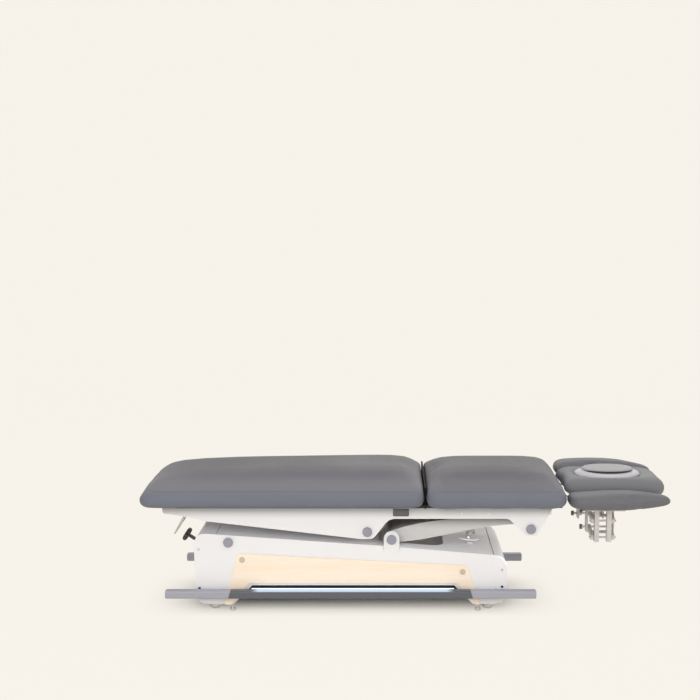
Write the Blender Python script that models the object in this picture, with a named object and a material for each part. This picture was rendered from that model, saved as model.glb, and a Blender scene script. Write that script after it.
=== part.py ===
"""Height-adjustable treatment table: a long leg section, a fixed middle section and a tilting head
section with a face hole and two swinging armrests, on a parallelogram lift over a closed base.

Frame: metres, +Z up, +X towards the head end, -Y is the near side, origin on the floor at mid length.
"""

import math

import bmesh
import bpy
from mathutils import Matrix, Vector

# Lying surface
LEG_LENGTH = 1.084
MIDDLE_LENGTH = 0.545
HEAD_LENGTH = 0.4065
TABLE_WIDTH = 0.700
BOARD_TOP = 0.424
BOARD_THICKNESS = 0.012
BOARD_SETBACK = 0.076
CUSHION_HEIGHT = 0.106
CUSHION_CORNER = 0.045
FOOT_CORNER = 0.045
FOOT_ROUNDING = 2.5
SECTION_GAP = 0.0085

# Clearances
SEAT_GAP = 0.0003
RUNNING_GAP = 0.0002
SIDE_PLAY = 0.0012

# Side plates and lift
PLATE_SETBACK = 0.075
PLATE_THICKNESS = 0.004
REAR_PIVOT_X = -0.694
REAR_PIVOT_Z = 0.277
PIVOT_SPACING = 0.631
PIVOT_RISE = 0.011
ARM_LENGTH = 0.539
ARM_REST_ANGLE = math.radians(4.4)
SHAFT_RADIUS = 0.010
ARM_TUBE_RADIUS = 0.0215
CAP_RADIUS = 0.0185
CAP_HEIGHT = 0.010
CRANK_LENGTH = 0.120
CRANK_ANGLE = math.radians(-124.0)
CRANK_PIN_RADIUS = 0.006
REAR_BEAM_WIDTH = 0.140
REAR_BEAM_HEIGHT = 0.036
FRONT_ARM_FROM_PLATE = 0.036
FRONT_ARM_WALL = 0.004

# Base
BASE_FOOT_X = -0.8265
BASE_HEAD_X = 0.385
BASE_BOTTOM = 0.033
BASE_FOOT_TOP = 0.3145
BASE_KNEE_TOP = 0.263
BASE_HEAD_TOP = 0.223
EAR_HALF_WIDTH = 0.030
EAR_TOP_RISE = 0.033
TOE_LIP_Z = 0.107
WOOD_THICKNESS = 0.006
COVER_THICKNESS = 0.0025
COVER_SEAM = 0.003
FOOT_SEAM_X = -0.742
HEAD_SEAM_X = 0.334
LID_RADIUS = 0.045
LID_X = 0.248

# Foot bars
BAR_LENGTH = 1.4305
BAR_DEPTH = 0.038
BAR_HEIGHT = 0.0315
BAR_CENTRE_X = -0.2205
BAR_FROM_PLATE = 0.030
BAR_CENTRE_Z = 0.0808
BAR_TRAVEL = 0.006
BAR_STEM_RADIUS = 0.006
BAR_STEM_SPACING = 1.130

# Castors and feet
SWIVEL_FOOT_X = -0.739
SWIVEL_HEAD_X = 0.330
SWIVEL_FROM_PLATE = 0.049
CASTOR_TRAIL = 0.015
WHEEL_RADIUS = 0.025
WHEEL_WIDTH = 0.020
WHEEL_LIFT = 0.001
FOOT_RADIUS = 0.0115

# Castor pedal
PEDAL_PIVOT_X = -0.760
PEDAL_PIVOT_Z = 0.165
PEDAL_TIP_X = -0.890
PEDAL_TIP_Z = 0.249
PEDAL_GRIP_LENGTH = 0.165
PEDAL_GRIP_RADIUS = 0.009

# Section hinges
LEG_HINGE_Z = 0.494
HEAD_HINGE_Z = 0.445
LEAF_THICKNESS = 0.0025
KNUCKLE_RADIUS = 0.0036
HINGE_PIN_RADIUS = 0.0016
LEG_HINGE_WIDTH = 0.600
LEG_KNUCKLE_WIDTH = 0.200
HEAD_STRAP_Y = 0.145
HEAD_STRAP_WIDTH = 0.012

# Head section
HEAD_PAD_WIDTH = 0.360
HEAD_PAD_HEIGHT = 0.084
HEAD_UNDERCUT = 0.055
FACE_HOLE_FROM_GAP = 0.193
FACE_HOLE_LENGTH = 0.236
FACE_HOLE_WIDTH = 0.198
PLUG_RIM = 0.012

# Armrests
ARMREST_SLOT = 0.016
ARMREST_BOTTOM = 0.409
ARMREST_HEIGHT = 0.067
ARM_LINK_LENGTH = 0.090
ARM_LINK_REST = {"near": math.radians(-15.0), "far": math.radians(10.0)}
ARM_MOUNT_Y = 0.130
ARM_UPPER_Z = 0.374
ARM_LOWER_Z = 0.308
ARM_LINKAGE_FROM_GAP = 0.148
ARM_LINKAGE_WIDTH = 0.108
ARM_PIN_RADIUS = 0.004

# Places worked out from the sizes above
TABLE_LENGTH = LEG_LENGTH + MIDDLE_LENGTH + HEAD_LENGTH
FOOT_END = -TABLE_LENGTH / 2
LEG_GAP_X = FOOT_END + LEG_LENGTH
HEAD_GAP_X = LEG_GAP_X + MIDDLE_LENGTH
HEAD_END = TABLE_LENGTH / 2
FACE_HOLE_X = HEAD_GAP_X + FACE_HOLE_FROM_GAP
ARM_LINKAGE_X = HEAD_GAP_X + ARM_LINKAGE_FROM_GAP
BOARD_BOTTOM = BOARD_TOP - BOARD_THICKNESS
FRAME_TOP = BOARD_BOTTOM - SEAT_GAP
PLATE_SPAN = TABLE_WIDTH - 2 * PLATE_SETBACK
PLATE_OUT = PLATE_SPAN / 2
PLATE_IN = PLATE_OUT - PLATE_THICKNESS
BAR_CENTRE_Y = PLATE_OUT + BAR_FROM_PLATE
SWIVEL_Y = PLATE_IN - SWIVEL_FROM_PLATE
FRONT_ARM_WIDTH = 2 * (PLATE_IN - FRONT_ARM_FROM_PLATE)
PIVOT_A = Vector((REAR_PIVOT_X, 0, REAR_PIVOT_Z))
PIVOT_B = PIVOT_A + Vector((PIVOT_SPACING, 0, PIVOT_RISE))
ARM_VECTOR = ARM_LENGTH * Vector((math.cos(ARM_REST_ANGLE), 0, math.sin(ARM_REST_ANGLE)))
PIVOT_C = PIVOT_A + ARM_VECTOR
PIVOT_D = PIVOT_B + ARM_VECTOR
SIDES = (("near", -1), ("far", 1))
ROUND_SIDES = 24
SMALL_SIDES = 12

for old in list(bpy.data.objects):
    bpy.data.objects.remove(old, do_unlink=True)


def paint(name, colour, roughness, metallic=0.0):
    """A plain Principled material in the piece's own colour."""
    material = bpy.data.materials.new(name)
    material.use_nodes = True
    shader = material.node_tree.nodes["Principled BSDF"]
    shader.inputs["Base Color"].default_value = (*colour, 1.0)
    shader.inputs["Roughness"].default_value = roughness
    shader.inputs["Metallic"].default_value = metallic
    material.diffuse_color = (*colour, 1.0)
    return material


UPHOLSTERY = ("upholstery", (0.21, 0.21, 0.22), 0.55)
PLUG_FABRIC = ("plug_upholstery", (0.41, 0.40, 0.42), 0.55)
WHITE_PAINT = ("white_paint", (0.82, 0.81, 0.80), 0.35)
COVER_PLASTIC = ("cover_plastic", (0.62, 0.61, 0.62), 0.45)
MAPLE = ("maple", (0.88, 0.74, 0.57), 0.45)
BAR_PLASTIC = ("bar_plastic", (0.13, 0.135, 0.15), 0.35)
CAP_PLASTIC = ("cap_plastic", (0.33, 0.33, 0.36), 0.45)
BLACK_PLASTIC = ("black_plastic", (0.03, 0.03, 0.033), 0.5)
DARK_STEEL = ("dark_steel", (0.08, 0.08, 0.085), 0.4, 0.6)
BRIGHT_STEEL = ("bright_steel", (0.6, 0.59, 0.58), 0.3, 1.0)
GREY_STEEL = ("grey_steel", (0.42, 0.40, 0.38), 0.4, 0.6)
BOARD_WOOD = ("board_wood", (0.05, 0.05, 0.05), 0.7)
RUBBER = ("rubber", (0.03, 0.03, 0.03), 0.8)
WHEEL_PLASTIC = ("wheel_plastic", (0.62, 0.60, 0.57), 0.5)
DIFFUSER = ("diffuser", (0.80, 0.87, 0.93), 0.3)


def joint_axis(name, place, parent=None):
    """An empty on a joint's axis, carried by the axis of the body that it turns on."""
    empty = bpy.data.objects.new(name, None)
    bpy.context.collection.objects.link(empty)
    empty["place"] = tuple(place)
    start = Vector(parent["place"]) if parent else Vector((0, 0, 0))
    empty.parent = parent
    empty.location = Vector(place) - start
    return empty


def face_outward(bm):
    """Turns every closed body's faces outward, going by the sign of its volume."""
    bmesh.ops.recalc_face_normals(bm, faces=bm.faces)
    bm.normal_update()
    left = set(bm.faces)
    while left:
        body = [left.pop()]
        for face in body:
            for edge in face.edges:
                for other in edge.link_faces:
                    if other in left:
                        left.discard(other)
                        body.append(other)
        if sum(f.calc_area() * f.normal.dot(f.verts[0].co) for f in body) < 0:
            bmesh.ops.reverse_faces(bm, faces=body)


def finish(name, bm, look, axis=None, smooth_angle=40):
    """Turns a bmesh in table coordinates into a named object, with its origin on its joint's axis."""
    face_outward(bm)
    mesh = bpy.data.meshes.new(name)
    bm.to_mesh(mesh)
    bm.free()
    mesh.shade_smooth()
    mesh.set_sharp_from_angle(angle=math.radians(smooth_angle))
    if axis:
        mesh.transform(Matrix.Translation(-Vector(axis["place"])))
    piece = bpy.data.objects.new(name, mesh)
    bpy.context.collection.objects.link(piece)
    piece.parent = axis
    if look:
        piece.data.materials.append(paint(name + "_" + look[0], *look[1:]))
    return piece


def shape(piece, operation, bm):
    """Joins a solid to a piece, or cuts it away, with a Boolean modifier and a hidden guide."""
    guide = finish(f"{piece.name}_guide_{len(piece.modifiers)}", bm, None)
    guide.hide_render = True
    guide.display_type = "WIRE"
    modifier = piece.modifiers.new(guide.name, "BOOLEAN")
    modifier.operation = operation
    modifier.solver = "EXACT"
    modifier.object = guide


def place(axis, u, v, along):
    """Puts outline point (u, v) into space, square to the given axis letter."""
    return {"X": (along, u, v), "Y": (u, along, v), "Z": (u, v, along)}[axis]


def prism(bm, outline, axis, low, high):
    """A closed outline carried from low to high along an axis."""
    start = [bm.verts.new(place(axis, u, v, low)) for u, v in outline]
    end = [bm.verts.new(place(axis, u, v, high)) for u, v in outline]
    bm.faces.new(start)
    bm.faces.new(end)
    for i in range(len(outline)):
        j = (i + 1) % len(outline)
        bm.faces.new((start[i], start[j], end[j], end[i]))
    return start + end


def solid(outline, axis, low, high):
    """A new bmesh that holds one prism."""
    bm = bmesh.new()
    prism(bm, outline, axis, low, high)
    return bm


def rectangle(u0, u1, v0, v1):
    return [(u0, v0), (u1, v0), (u1, v1), (u0, v1)]


def block(bm, x0, x1, y0, y1, z0, z1):
    """A box between two corners."""
    return prism(bm, rectangle(x0, x1, y0, y1), "Z", z0, z1)


def circle(u, v, radius, sides=ROUND_SIDES, stretch=1.0):
    """A regular outline of a circle, or of an oval when v is stretched."""
    turn = [2 * math.pi * (i + 0.5) / sides for i in range(sides)]
    return [(u + radius * math.cos(a), v + radius * stretch * math.sin(a)) for a in turn]


def bore_radius(shaft, sides=ROUND_SIDES):
    """Radius of a faceted bore whose flats clear a shaft by the running gap."""
    return (shaft + RUNNING_GAP) / math.cos(math.pi / sides)


def loft(bm, rings, closed=False, curved_top=False):
    """Bridges rings of equal length, with the ends capped, flat or curved, or joined to each other."""
    loops = [[bm.verts.new(p) for p in ring] for ring in rings]
    pairs = list(zip(loops, loops[1:]))
    if closed:
        pairs.append((loops[-1], loops[0]))
    else:
        bm.faces.new(loops[0])
        if not curved_top:
            bm.faces.new(loops[-1])
    count = len(loops[0])
    for lower, upper in pairs:
        for i in range(count):
            j = (i + 1) % count
            bm.faces.new((lower[i], lower[j], upper[j], upper[i]))
    if curved_top:
        rim = [bm.edges.get((loops[-1][i - 1], loops[-1][i])) for i in range(count)]
        bmesh.ops.triangle_fill(bm, use_beauty=True, edges=rim)


def rounded(corners, step=math.radians(18)):
    """An outline through (u, v, radius) corners, each rounded by a tangent arc."""
    outline = []
    count = len(corners)
    for i, (u, v, radius) in enumerate(corners):
        here = Vector((u, v))
        before = (Vector(corners[i - 1][:2]) - here).normalized()
        after = (Vector(corners[(i + 1) % count][:2]) - here).normalized()
        half = before.angle(after) / 2
        if radius <= 0 or half > math.radians(89):
            outline.append((u, v))
            continue
        centre = here + (before + after).normalized() * (radius / math.sin(half))
        first = here + before * (radius / math.tan(half)) - centre
        last = here + after * (radius / math.tan(half)) - centre
        sweep = first.angle_signed(last)
        pieces = max(1, round(abs(sweep) / step))
        for k in range(pieces + 1):
            turned = Matrix.Rotation(-sweep * k / pieces, 2) @ first
            outline.append(tuple(centre + turned))
    return outline


def ribbon(path, thickness):
    """The outline of a sheet of even thickness on the right-hand side of an open path."""
    points = [Vector(p) for p in path]
    inner = []
    for i, point in enumerate(points):
        ahead = (points[min(i + 1, len(points) - 1)] - points[max(i - 1, 0)]).normalized()
        inner.append(tuple(point + thickness * Vector((ahead.y, -ahead.x))))
    return [tuple(p) for p in points] + inner[::-1]


def arm_point(pivot, u, v):
    """A point u along a lift arm from its pivot and v square above it, at rest."""
    c, s = math.cos(ARM_REST_ANGLE), math.sin(ARM_REST_ANGLE)
    return (pivot.x + u * c - v * s, pivot.z + u * s + v * c)


# Axes that the moving pieces turn on
rear_arm_axis = joint_axis("rear_arm_axis", PIVOT_A)
front_arm_axis = joint_axis("front_arm_axis", PIVOT_B)
top_frame_axis = joint_axis("top_frame_axis", PIVOT_C, rear_arm_axis)
leg_axis = joint_axis("leg_section_axis", (LEG_GAP_X, 0, LEG_HINGE_Z), top_frame_axis)
head_axis = joint_axis("head_section_axis", (HEAD_GAP_X, 0, HEAD_HINGE_Z), top_frame_axis)
pedal_axis = joint_axis("pedal_axis", (PEDAL_PIVOT_X, 0, PEDAL_PIVOT_Z))

# Base side plates: folded steel with a sloping top edge, a pivot ear and a toe cut-out
FOOT_BATTER = 0.001
TOP_CORNER = 0.040
HEAD_CORNER = 0.060
BOTTOM_CORNER = 0.045
EAR_SLIT_WIDTH = 0.002
EAR_SLIT_DEPTH = 0.012
TOE_FOOT_X = -0.603
TOE_HEAD_X = 0.180
TOE_SLANT = 0.072
KNEE_X = PIVOT_B.x - EAR_HALF_WIDTH
EAR_HEAD_X = PIVOT_B.x + EAR_HALF_WIDTH


def top_edge(x):
    """Height of the base's sloping top edge, in two straight runs that meet at the ear."""
    if x < KNEE_X:
        share = (x - BASE_FOOT_X) / (KNEE_X - BASE_FOOT_X)
        return BASE_FOOT_TOP + share * (BASE_KNEE_TOP - BASE_FOOT_TOP)
    share = (x - KNEE_X) / (BASE_HEAD_X - KNEE_X)
    return BASE_KNEE_TOP + share * (BASE_HEAD_TOP - BASE_KNEE_TOP)


def side_plate_outline():
    """Base plate from its lower foot corner, round by the top edge and ear, to the toe cut-out."""
    ear_top = PIVOT_B.z + EAR_TOP_RISE
    ear_round = EAR_HALF_WIDTH * 0.98
    slit_foot = top_edge(KNEE_X) - EAR_SLIT_DEPTH
    slit_head = top_edge(EAR_HEAD_X) - EAR_SLIT_DEPTH
    return rounded([
        (BASE_FOOT_X + FOOT_BATTER, BASE_BOTTOM, BOTTOM_CORNER),
        (BASE_FOOT_X, BASE_FOOT_TOP, TOP_CORNER),
        (KNEE_X - EAR_SLIT_WIDTH, top_edge(KNEE_X - EAR_SLIT_WIDTH), 0),
        (KNEE_X - EAR_SLIT_WIDTH, slit_foot, 0),
        (KNEE_X, slit_foot, 0),
        (KNEE_X, ear_top, ear_round),
        (EAR_HEAD_X, ear_top, ear_round),
        (EAR_HEAD_X, slit_head, 0),
        (EAR_HEAD_X + EAR_SLIT_WIDTH, slit_head, 0),
        (EAR_HEAD_X + EAR_SLIT_WIDTH, top_edge(EAR_HEAD_X + EAR_SLIT_WIDTH), 0),
        (BASE_HEAD_X, BASE_HEAD_TOP, HEAD_CORNER),
        (BASE_HEAD_X, BASE_BOTTOM, BOTTOM_CORNER),
        (TOE_HEAD_X + TOE_SLANT, BASE_BOTTOM, 0),
        (TOE_HEAD_X, TOE_LIP_Z, 0.006),
        (TOE_FOOT_X, TOE_LIP_Z, 0.006),
        (TOE_FOOT_X - TOE_SLANT, BASE_BOTTOM, 0),
    ])


BAR_STEMS = (BAR_CENTRE_X - BAR_STEM_SPACING / 2, BAR_CENTRE_X + BAR_STEM_SPACING / 2)
STEM_FLAT = BAR_STEM_RADIUS * math.cos(math.pi / SMALL_SIDES)
CUT_PAST = 0.010
for side_name, side in SIDES:
    plate = finish(
        "side_plate_" + side_name,
        solid(side_plate_outline(), "Y", side * PLATE_IN, side * PLATE_OUT),
        WHITE_PAINT,
    )
    near_cut, far_cut = side * (PLATE_IN - CUT_PAST), side * (PLATE_OUT + CUT_PAST)
    for pivot in (PIVOT_A, PIVOT_B):
        hole = circle(pivot.x, pivot.z, bore_radius(SHAFT_RADIUS))
        shape(plate, "DIFFERENCE", solid(hole, "Y", near_cut, far_cut))
    slot_half = STEM_FLAT + SEAT_GAP
    slot_reach = STEM_FLAT + BAR_TRAVEL + SEAT_GAP
    for stem_x in BAR_STEMS:
        slot = rectangle(
            stem_x - slot_half, stem_x + slot_half, BAR_CENTRE_Z - slot_reach, BAR_CENTRE_Z + slot_reach
        )
        shape(plate, "DIFFERENCE", solid(slot, "Y", near_cut, far_cut))

# Maple panels over the plates, showing a lip of the plate round the toe cut-out
WOOD_TOP_FOOT = (-0.656, 0.233)
WOOD_TOP_HEAD = (0.229, 0.186)
WOOD_FOOT_X = -0.710
WOOD_HEAD_X = 0.281
WOOD_DROP = 0.002
WOOD_REVEAL = 0.010
WOOD_CORNER = 0.012
WOOD_FACE = PLATE_OUT + SEAT_GAP
wood_toe_z = TOE_LIP_Z + WOOD_REVEAL
wood_bottom = BASE_BOTTOM - WOOD_DROP
wood_toe_foot = TOE_FOOT_X - WOOD_REVEAL
wood_toe_head = TOE_HEAD_X + WOOD_REVEAL
wood_outline = rounded([
    (WOOD_FOOT_X, wood_bottom, 0.004),
    (*WOOD_TOP_FOOT, WOOD_CORNER),
    (*WOOD_TOP_HEAD, WOOD_CORNER),
    (WOOD_HEAD_X, wood_bottom, 0.004),
    (wood_toe_head + TOE_SLANT, wood_bottom, 0.003),
    (wood_toe_head, wood_toe_z, 0.004),
    (wood_toe_foot, wood_toe_z, 0.004),
    (wood_toe_foot - TOE_SLANT, wood_bottom, 0.003),
])
for side_name, side in SIDES:
    finish(
        "wood_panel_" + side_name,
        solid(wood_outline, "Y", side * WOOD_FACE, side * (WOOD_FACE + WOOD_THICKNESS)),
        MAPLE,
    )

# Castor heights, from the floor up
WHEEL_Z = WHEEL_RADIUS + WHEEL_LIFT
FORK_TOP = WHEEL_Z + 0.040
FORK_WALL = 0.003
STEM_RADIUS = 0.006
CARRIAGE_BOTTOM = FORK_TOP + 0.0023
CARRIAGE_HEIGHT = 0.025
CARRIAGE_HALF_DEPTH = 0.018
CARRIAGE_OVERHANG = 0.030
CROSS_BEAM_BOTTOM = CARRIAGE_BOTTOM + CARRIAGE_HEIGHT + SEAT_GAP
CROSS_BEAM_HEIGHT = 0.0295
CROSS_BEAM_HALF_DEPTH = 0.034

# Welded chassis: two cross beams, two rails, the actuator cradle and the pedal's bracket
RAIL_FROM_PLATE = 0.025
RAIL_CENTRE_Y = PLATE_IN - RAIL_FROM_PLATE
RAIL_WIDTH = 0.023
RAIL_BOTTOM = 0.072
RAIL_HEIGHT = 0.0265
CRADLE_X = -0.600
CRADLE_HALF_DEPTH = 0.020
ACTUATOR_Z = 0.178
ACTUATOR_RADIUS = 0.030
PEDAL_LEVER_WIDTH = 0.012
PEDAL_EAR_THICKNESS = 0.004
PEDAL_EAR_HALF_DEPTH = 0.014
PEDAL_PIN_RADIUS = 0.004
RAIL_IN = RAIL_CENTRE_Y - RAIL_WIDTH / 2
RAIL_OUT = RAIL_CENTRE_Y + RAIL_WIDTH / 2
RAIL_TOP = RAIL_BOTTOM + RAIL_HEIGHT
CROSS_BEAM_TOP = CROSS_BEAM_BOTTOM + CROSS_BEAM_HEIGHT
BETWEEN_PLATES = PLATE_IN - SEAT_GAP
WELD_LAP = 0.010
WELD_BITE = 0.002
chassis = bmesh.new()
for swivel_x in (SWIVEL_FOOT_X, SWIVEL_HEAD_X):
    block(
        chassis, swivel_x - CROSS_BEAM_HALF_DEPTH, swivel_x + CROSS_BEAM_HALF_DEPTH,
        -BETWEEN_PLATES, BETWEEN_PLATES, CROSS_BEAM_BOTTOM, CROSS_BEAM_TOP,
    )
base_chassis = finish("base_chassis", chassis, DARK_STEEL)
rail_foot = SWIVEL_FOOT_X + CROSS_BEAM_HALF_DEPTH
rail_head = SWIVEL_HEAD_X - CROSS_BEAM_HALF_DEPTH
rails = bmesh.new()
for _, side in SIDES:
    block(
        rails, rail_foot - WELD_LAP, rail_head + WELD_LAP, side * RAIL_IN, side * RAIL_OUT,
        RAIL_BOTTOM, RAIL_TOP,
    )
shape(base_chassis, "UNION", rails)
ear_in = PEDAL_LEVER_WIDTH / 2 + SIDE_PLAY
ear_outline = rounded([
    (PEDAL_PIVOT_X - PEDAL_EAR_HALF_DEPTH, CROSS_BEAM_TOP - WELD_BITE, 0),
    (PEDAL_PIVOT_X + PEDAL_EAR_HALF_DEPTH, CROSS_BEAM_TOP - WELD_BITE, 0),
    (PEDAL_PIVOT_X + PEDAL_EAR_HALF_DEPTH, PEDAL_PIVOT_Z + PEDAL_EAR_HALF_DEPTH, 0.013),
    (PEDAL_PIVOT_X - PEDAL_EAR_HALF_DEPTH, PEDAL_PIVOT_Z + PEDAL_EAR_HALF_DEPTH, 0.013),
])
upstands = bmesh.new()
for _, side in SIDES:
    prism(upstands, ear_outline, "Y", side * ear_in, side * (ear_in + PEDAL_EAR_THICKNESS))
cradle_top = ACTUATOR_Z - ACTUATOR_RADIUS - SEAT_GAP
block(
    upstands, CRADLE_X - CRADLE_HALF_DEPTH, CRADLE_X + CRADLE_HALF_DEPTH,
    -RAIL_OUT + WELD_BITE, RAIL_OUT - WELD_BITE, RAIL_TOP - WELD_BITE, cradle_top,
)
shape(base_chassis, "UNION", upstands)
pedal_pin = circle(PEDAL_PIVOT_X, PEDAL_PIVOT_Z, PEDAL_PIN_RADIUS, SMALL_SIDES)
pin_reach = ear_in + PEDAL_EAR_THICKNESS + WELD_BITE
shape(base_chassis, "UNION", solid(pedal_pin, "Y", -pin_reach, pin_reach))

# Rubber levelling feet under the rails, which carry the table while the castors are up
FOOT_PAD_HEIGHT = 0.010
FOOT_STUD_RADIUS = 0.005
FOOT_INSET = 0.022
foot_profile = (
    (FOOT_RADIUS, 0.0),
    (FOOT_RADIUS, FOOT_PAD_HEIGHT * 0.7),
    (FOOT_RADIUS * 0.85, FOOT_PAD_HEIGHT),
    (FOOT_STUD_RADIUS, FOOT_PAD_HEIGHT),
    (FOOT_STUD_RADIUS, RAIL_BOTTOM - SEAT_GAP),
)
for end_name, foot_x in (("foot", rail_foot + FOOT_INSET), ("head", rail_head - FOOT_INSET)):
    for side_name, side in SIDES:
        rings = []
        for radius, z in foot_profile:
            rings.append([(x, y, z) for x, y in circle(foot_x, side * RAIL_CENTRE_Y, radius, 16)])
        foot = bmesh.new()
        loft(foot, rings)
        finish(f"levelling_foot_{end_name}_{side_name}", foot, RUBBER)

# Light strips along the rails, behind the foot bars
STRIP_BOTTOM = 0.084
STRIP_HEIGHT = 0.0125
STRIP_DEPTH = 0.008
for side_name, side in SIDES:
    low = RAIL_OUT + SEAT_GAP
    strip = bmesh.new()
    block(
        strip, TOE_FOOT_X - 0.004, TOE_HEAD_X, side * low, side * (low + STRIP_DEPTH),
        STRIP_BOTTOM, STRIP_BOTTOM + STRIP_HEIGHT,
    )
    finish("led_strip_" + side_name, strip, DIFFUSER)

# Top covers, sheets between the plates just below their top edge
COVER_RECESS = 0.001
COVER_BOTTOM = 0.055
COVER_SIDE = BETWEEN_PLATES
SLOT_MARGIN = 0.015
PEDAL_SLOT_HALF = 0.012


def cover_line(x):
    return top_edge(x) - COVER_RECESS


def foot_wall_x(z):
    """Outer face of the foot end cover at a height, following the plates' battered end."""
    share = (BASE_FOOT_TOP - z) / (BASE_FOOT_TOP - BASE_BOTTOM)
    return BASE_FOOT_X + COVER_RECESS + FOOT_BATTER * share


foot_path = rounded([
    (foot_wall_x(COVER_BOTTOM), COVER_BOTTOM, 0),
    (foot_wall_x(BASE_FOOT_TOP), BASE_FOOT_TOP - COVER_RECESS, TOP_CORNER),
    (FOOT_SEAM_X - COVER_SEAM / 2, cover_line(FOOT_SEAM_X - COVER_SEAM / 2), 0),
])
cover_foot = finish(
    "cover_foot", solid(ribbon(foot_path, COVER_THICKNESS), "Y", -COVER_SIDE, COVER_SIDE), COVER_PLASTIC
)
slot = bmesh.new()
block(
    slot, BASE_FOOT_X - CUT_PAST, BASE_FOOT_X + 3 * CUT_PAST, -PEDAL_SLOT_HALF, PEDAL_SLOT_HALF,
    PEDAL_PIVOT_Z - 0.012, PEDAL_PIVOT_Z + 0.066,
)
shape(cover_foot, "DIFFERENCE", slot)

centre_path = [
    (FOOT_SEAM_X + COVER_SEAM / 2, cover_line(FOOT_SEAM_X + COVER_SEAM / 2)),
    (KNEE_X, cover_line(KNEE_X)),
    (HEAD_SEAM_X - COVER_SEAM / 2, cover_line(HEAD_SEAM_X - COVER_SEAM / 2)),
]
cover_centre = finish(
    "cover_centre", solid(ribbon(centre_path, COVER_THICKNESS), "Y", -COVER_SIDE, COVER_SIDE), COVER_PLASTIC
)
FRONT_SLOT_FROM_ARM = 0.045
FRONT_SLOT_HALF = FRONT_ARM_WIDTH / 2 - FRONT_SLOT_FROM_ARM
FRONT_SLOT_REACH = 0.205
rear_slot_half = REAR_BEAM_WIDTH / 2 + SLOT_MARGIN
slot = bmesh.new()
block(
    slot, PIVOT_A.x - ARM_TUBE_RADIUS - SLOT_MARGIN / 2, PIVOT_B.x - SLOT_MARGIN,
    -rear_slot_half, rear_slot_half, BASE_HEAD_TOP - CUT_PAST, BASE_FOOT_TOP + CUT_PAST,
)
shape(cover_centre, "DIFFERENCE", slot)
slot = rounded([
    (PIVOT_B.x - 0.052, -FRONT_SLOT_HALF, 0.02),
    (PIVOT_B.x + FRONT_SLOT_REACH, -FRONT_SLOT_HALF, 0.06),
    (PIVOT_B.x + FRONT_SLOT_REACH, FRONT_SLOT_HALF, 0.06),
    (PIVOT_B.x - 0.052, FRONT_SLOT_HALF, 0.02),
])
shape(cover_centre, "DIFFERENCE", solid(slot, "Z", BASE_HEAD_TOP - 2 * CUT_PAST, BASE_FOOT_TOP))

head_path = rounded([
    (HEAD_SEAM_X + COVER_SEAM / 2, cover_line(HEAD_SEAM_X + COVER_SEAM / 2), 0),
    (BASE_HEAD_X - COVER_RECESS, BASE_HEAD_TOP - COVER_RECESS, HEAD_CORNER - 0.010),
    (BASE_HEAD_X - COVER_RECESS, COVER_BOTTOM, 0),
])
finish(
    "cover_head", solid(ribbon(head_path, COVER_THICKNESS), "Y", -COVER_SIDE, COVER_SIDE), COVER_PLASTIC
)

# Round service lid lying on the sloping centre cover, with a small finger tab
LID_THICKNESS = 0.0015
cover_slope = math.atan2(BASE_KNEE_TOP - BASE_HEAD_TOP, BASE_HEAD_X - KNEE_X)
lid_place = Matrix.Translation((LID_X, 0, cover_line(LID_X) + SEAT_GAP))
lid_place = lid_place @ Matrix.Rotation(cover_slope, 4, "Y")
TAB_HALF_LENGTH = 0.016
TAB_HALF_WIDTH = 0.004
TAB_RISE = 0.008
tab_outline = rounded([
    (-TAB_HALF_WIDTH, -TAB_HALF_LENGTH, 0.003), (TAB_HALF_WIDTH, -TAB_HALF_LENGTH, 0.003),
    (TAB_HALF_WIDTH, TAB_HALF_LENGTH, 0.003), (-TAB_HALF_WIDTH, TAB_HALF_LENGTH, 0.003),
])
lid_disc = solid(circle(0, 0, LID_RADIUS, 32), "Z", 0, LID_THICKNESS)
lid_tab = solid(tab_outline, "Z", LID_THICKNESS / 2, TAB_RISE)
for lid_piece in (lid_disc, lid_tab):
    bmesh.ops.transform(lid_piece, matrix=lid_place, verts=lid_piece.verts)
service_lid = finish("service_lid", lid_disc, COVER_PLASTIC)
shape(service_lid, "UNION", lid_tab)

# Mains inlet block on the foot cover, with its socket recess
INLET_Y = 0.120
INLET_HALF_WIDTH = 0.028
INLET_LOW = 0.085
INLET_HIGH = 0.122
INLET_PROUD = 0.010
inlet_outline = [
    (foot_wall_x(INLET_LOW) - SEAT_GAP, INLET_LOW),
    (foot_wall_x(INLET_HIGH) - SEAT_GAP, INLET_HIGH),
    (foot_wall_x(INLET_HIGH) - INLET_PROUD, INLET_HIGH),
    (foot_wall_x(INLET_LOW) - INLET_PROUD, INLET_LOW),
]
mains_inlet = finish(
    "mains_inlet",
    solid(inlet_outline, "Y", INLET_Y - INLET_HALF_WIDTH, INLET_Y + INLET_HALF_WIDTH),
    BLACK_PLASTIC,
)
recess = bmesh.new()
block(
    recess, BASE_FOOT_X - 2 * CUT_PAST, foot_wall_x(INLET_LOW) - 0.005,
    INLET_Y - INLET_HALF_WIDTH + 0.006, INLET_Y + INLET_HALF_WIDTH - 0.006,
    INLET_LOW + 0.006, INLET_HIGH - 0.006,
)
shape(mains_inlet, "DIFFERENCE", recess)

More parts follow.
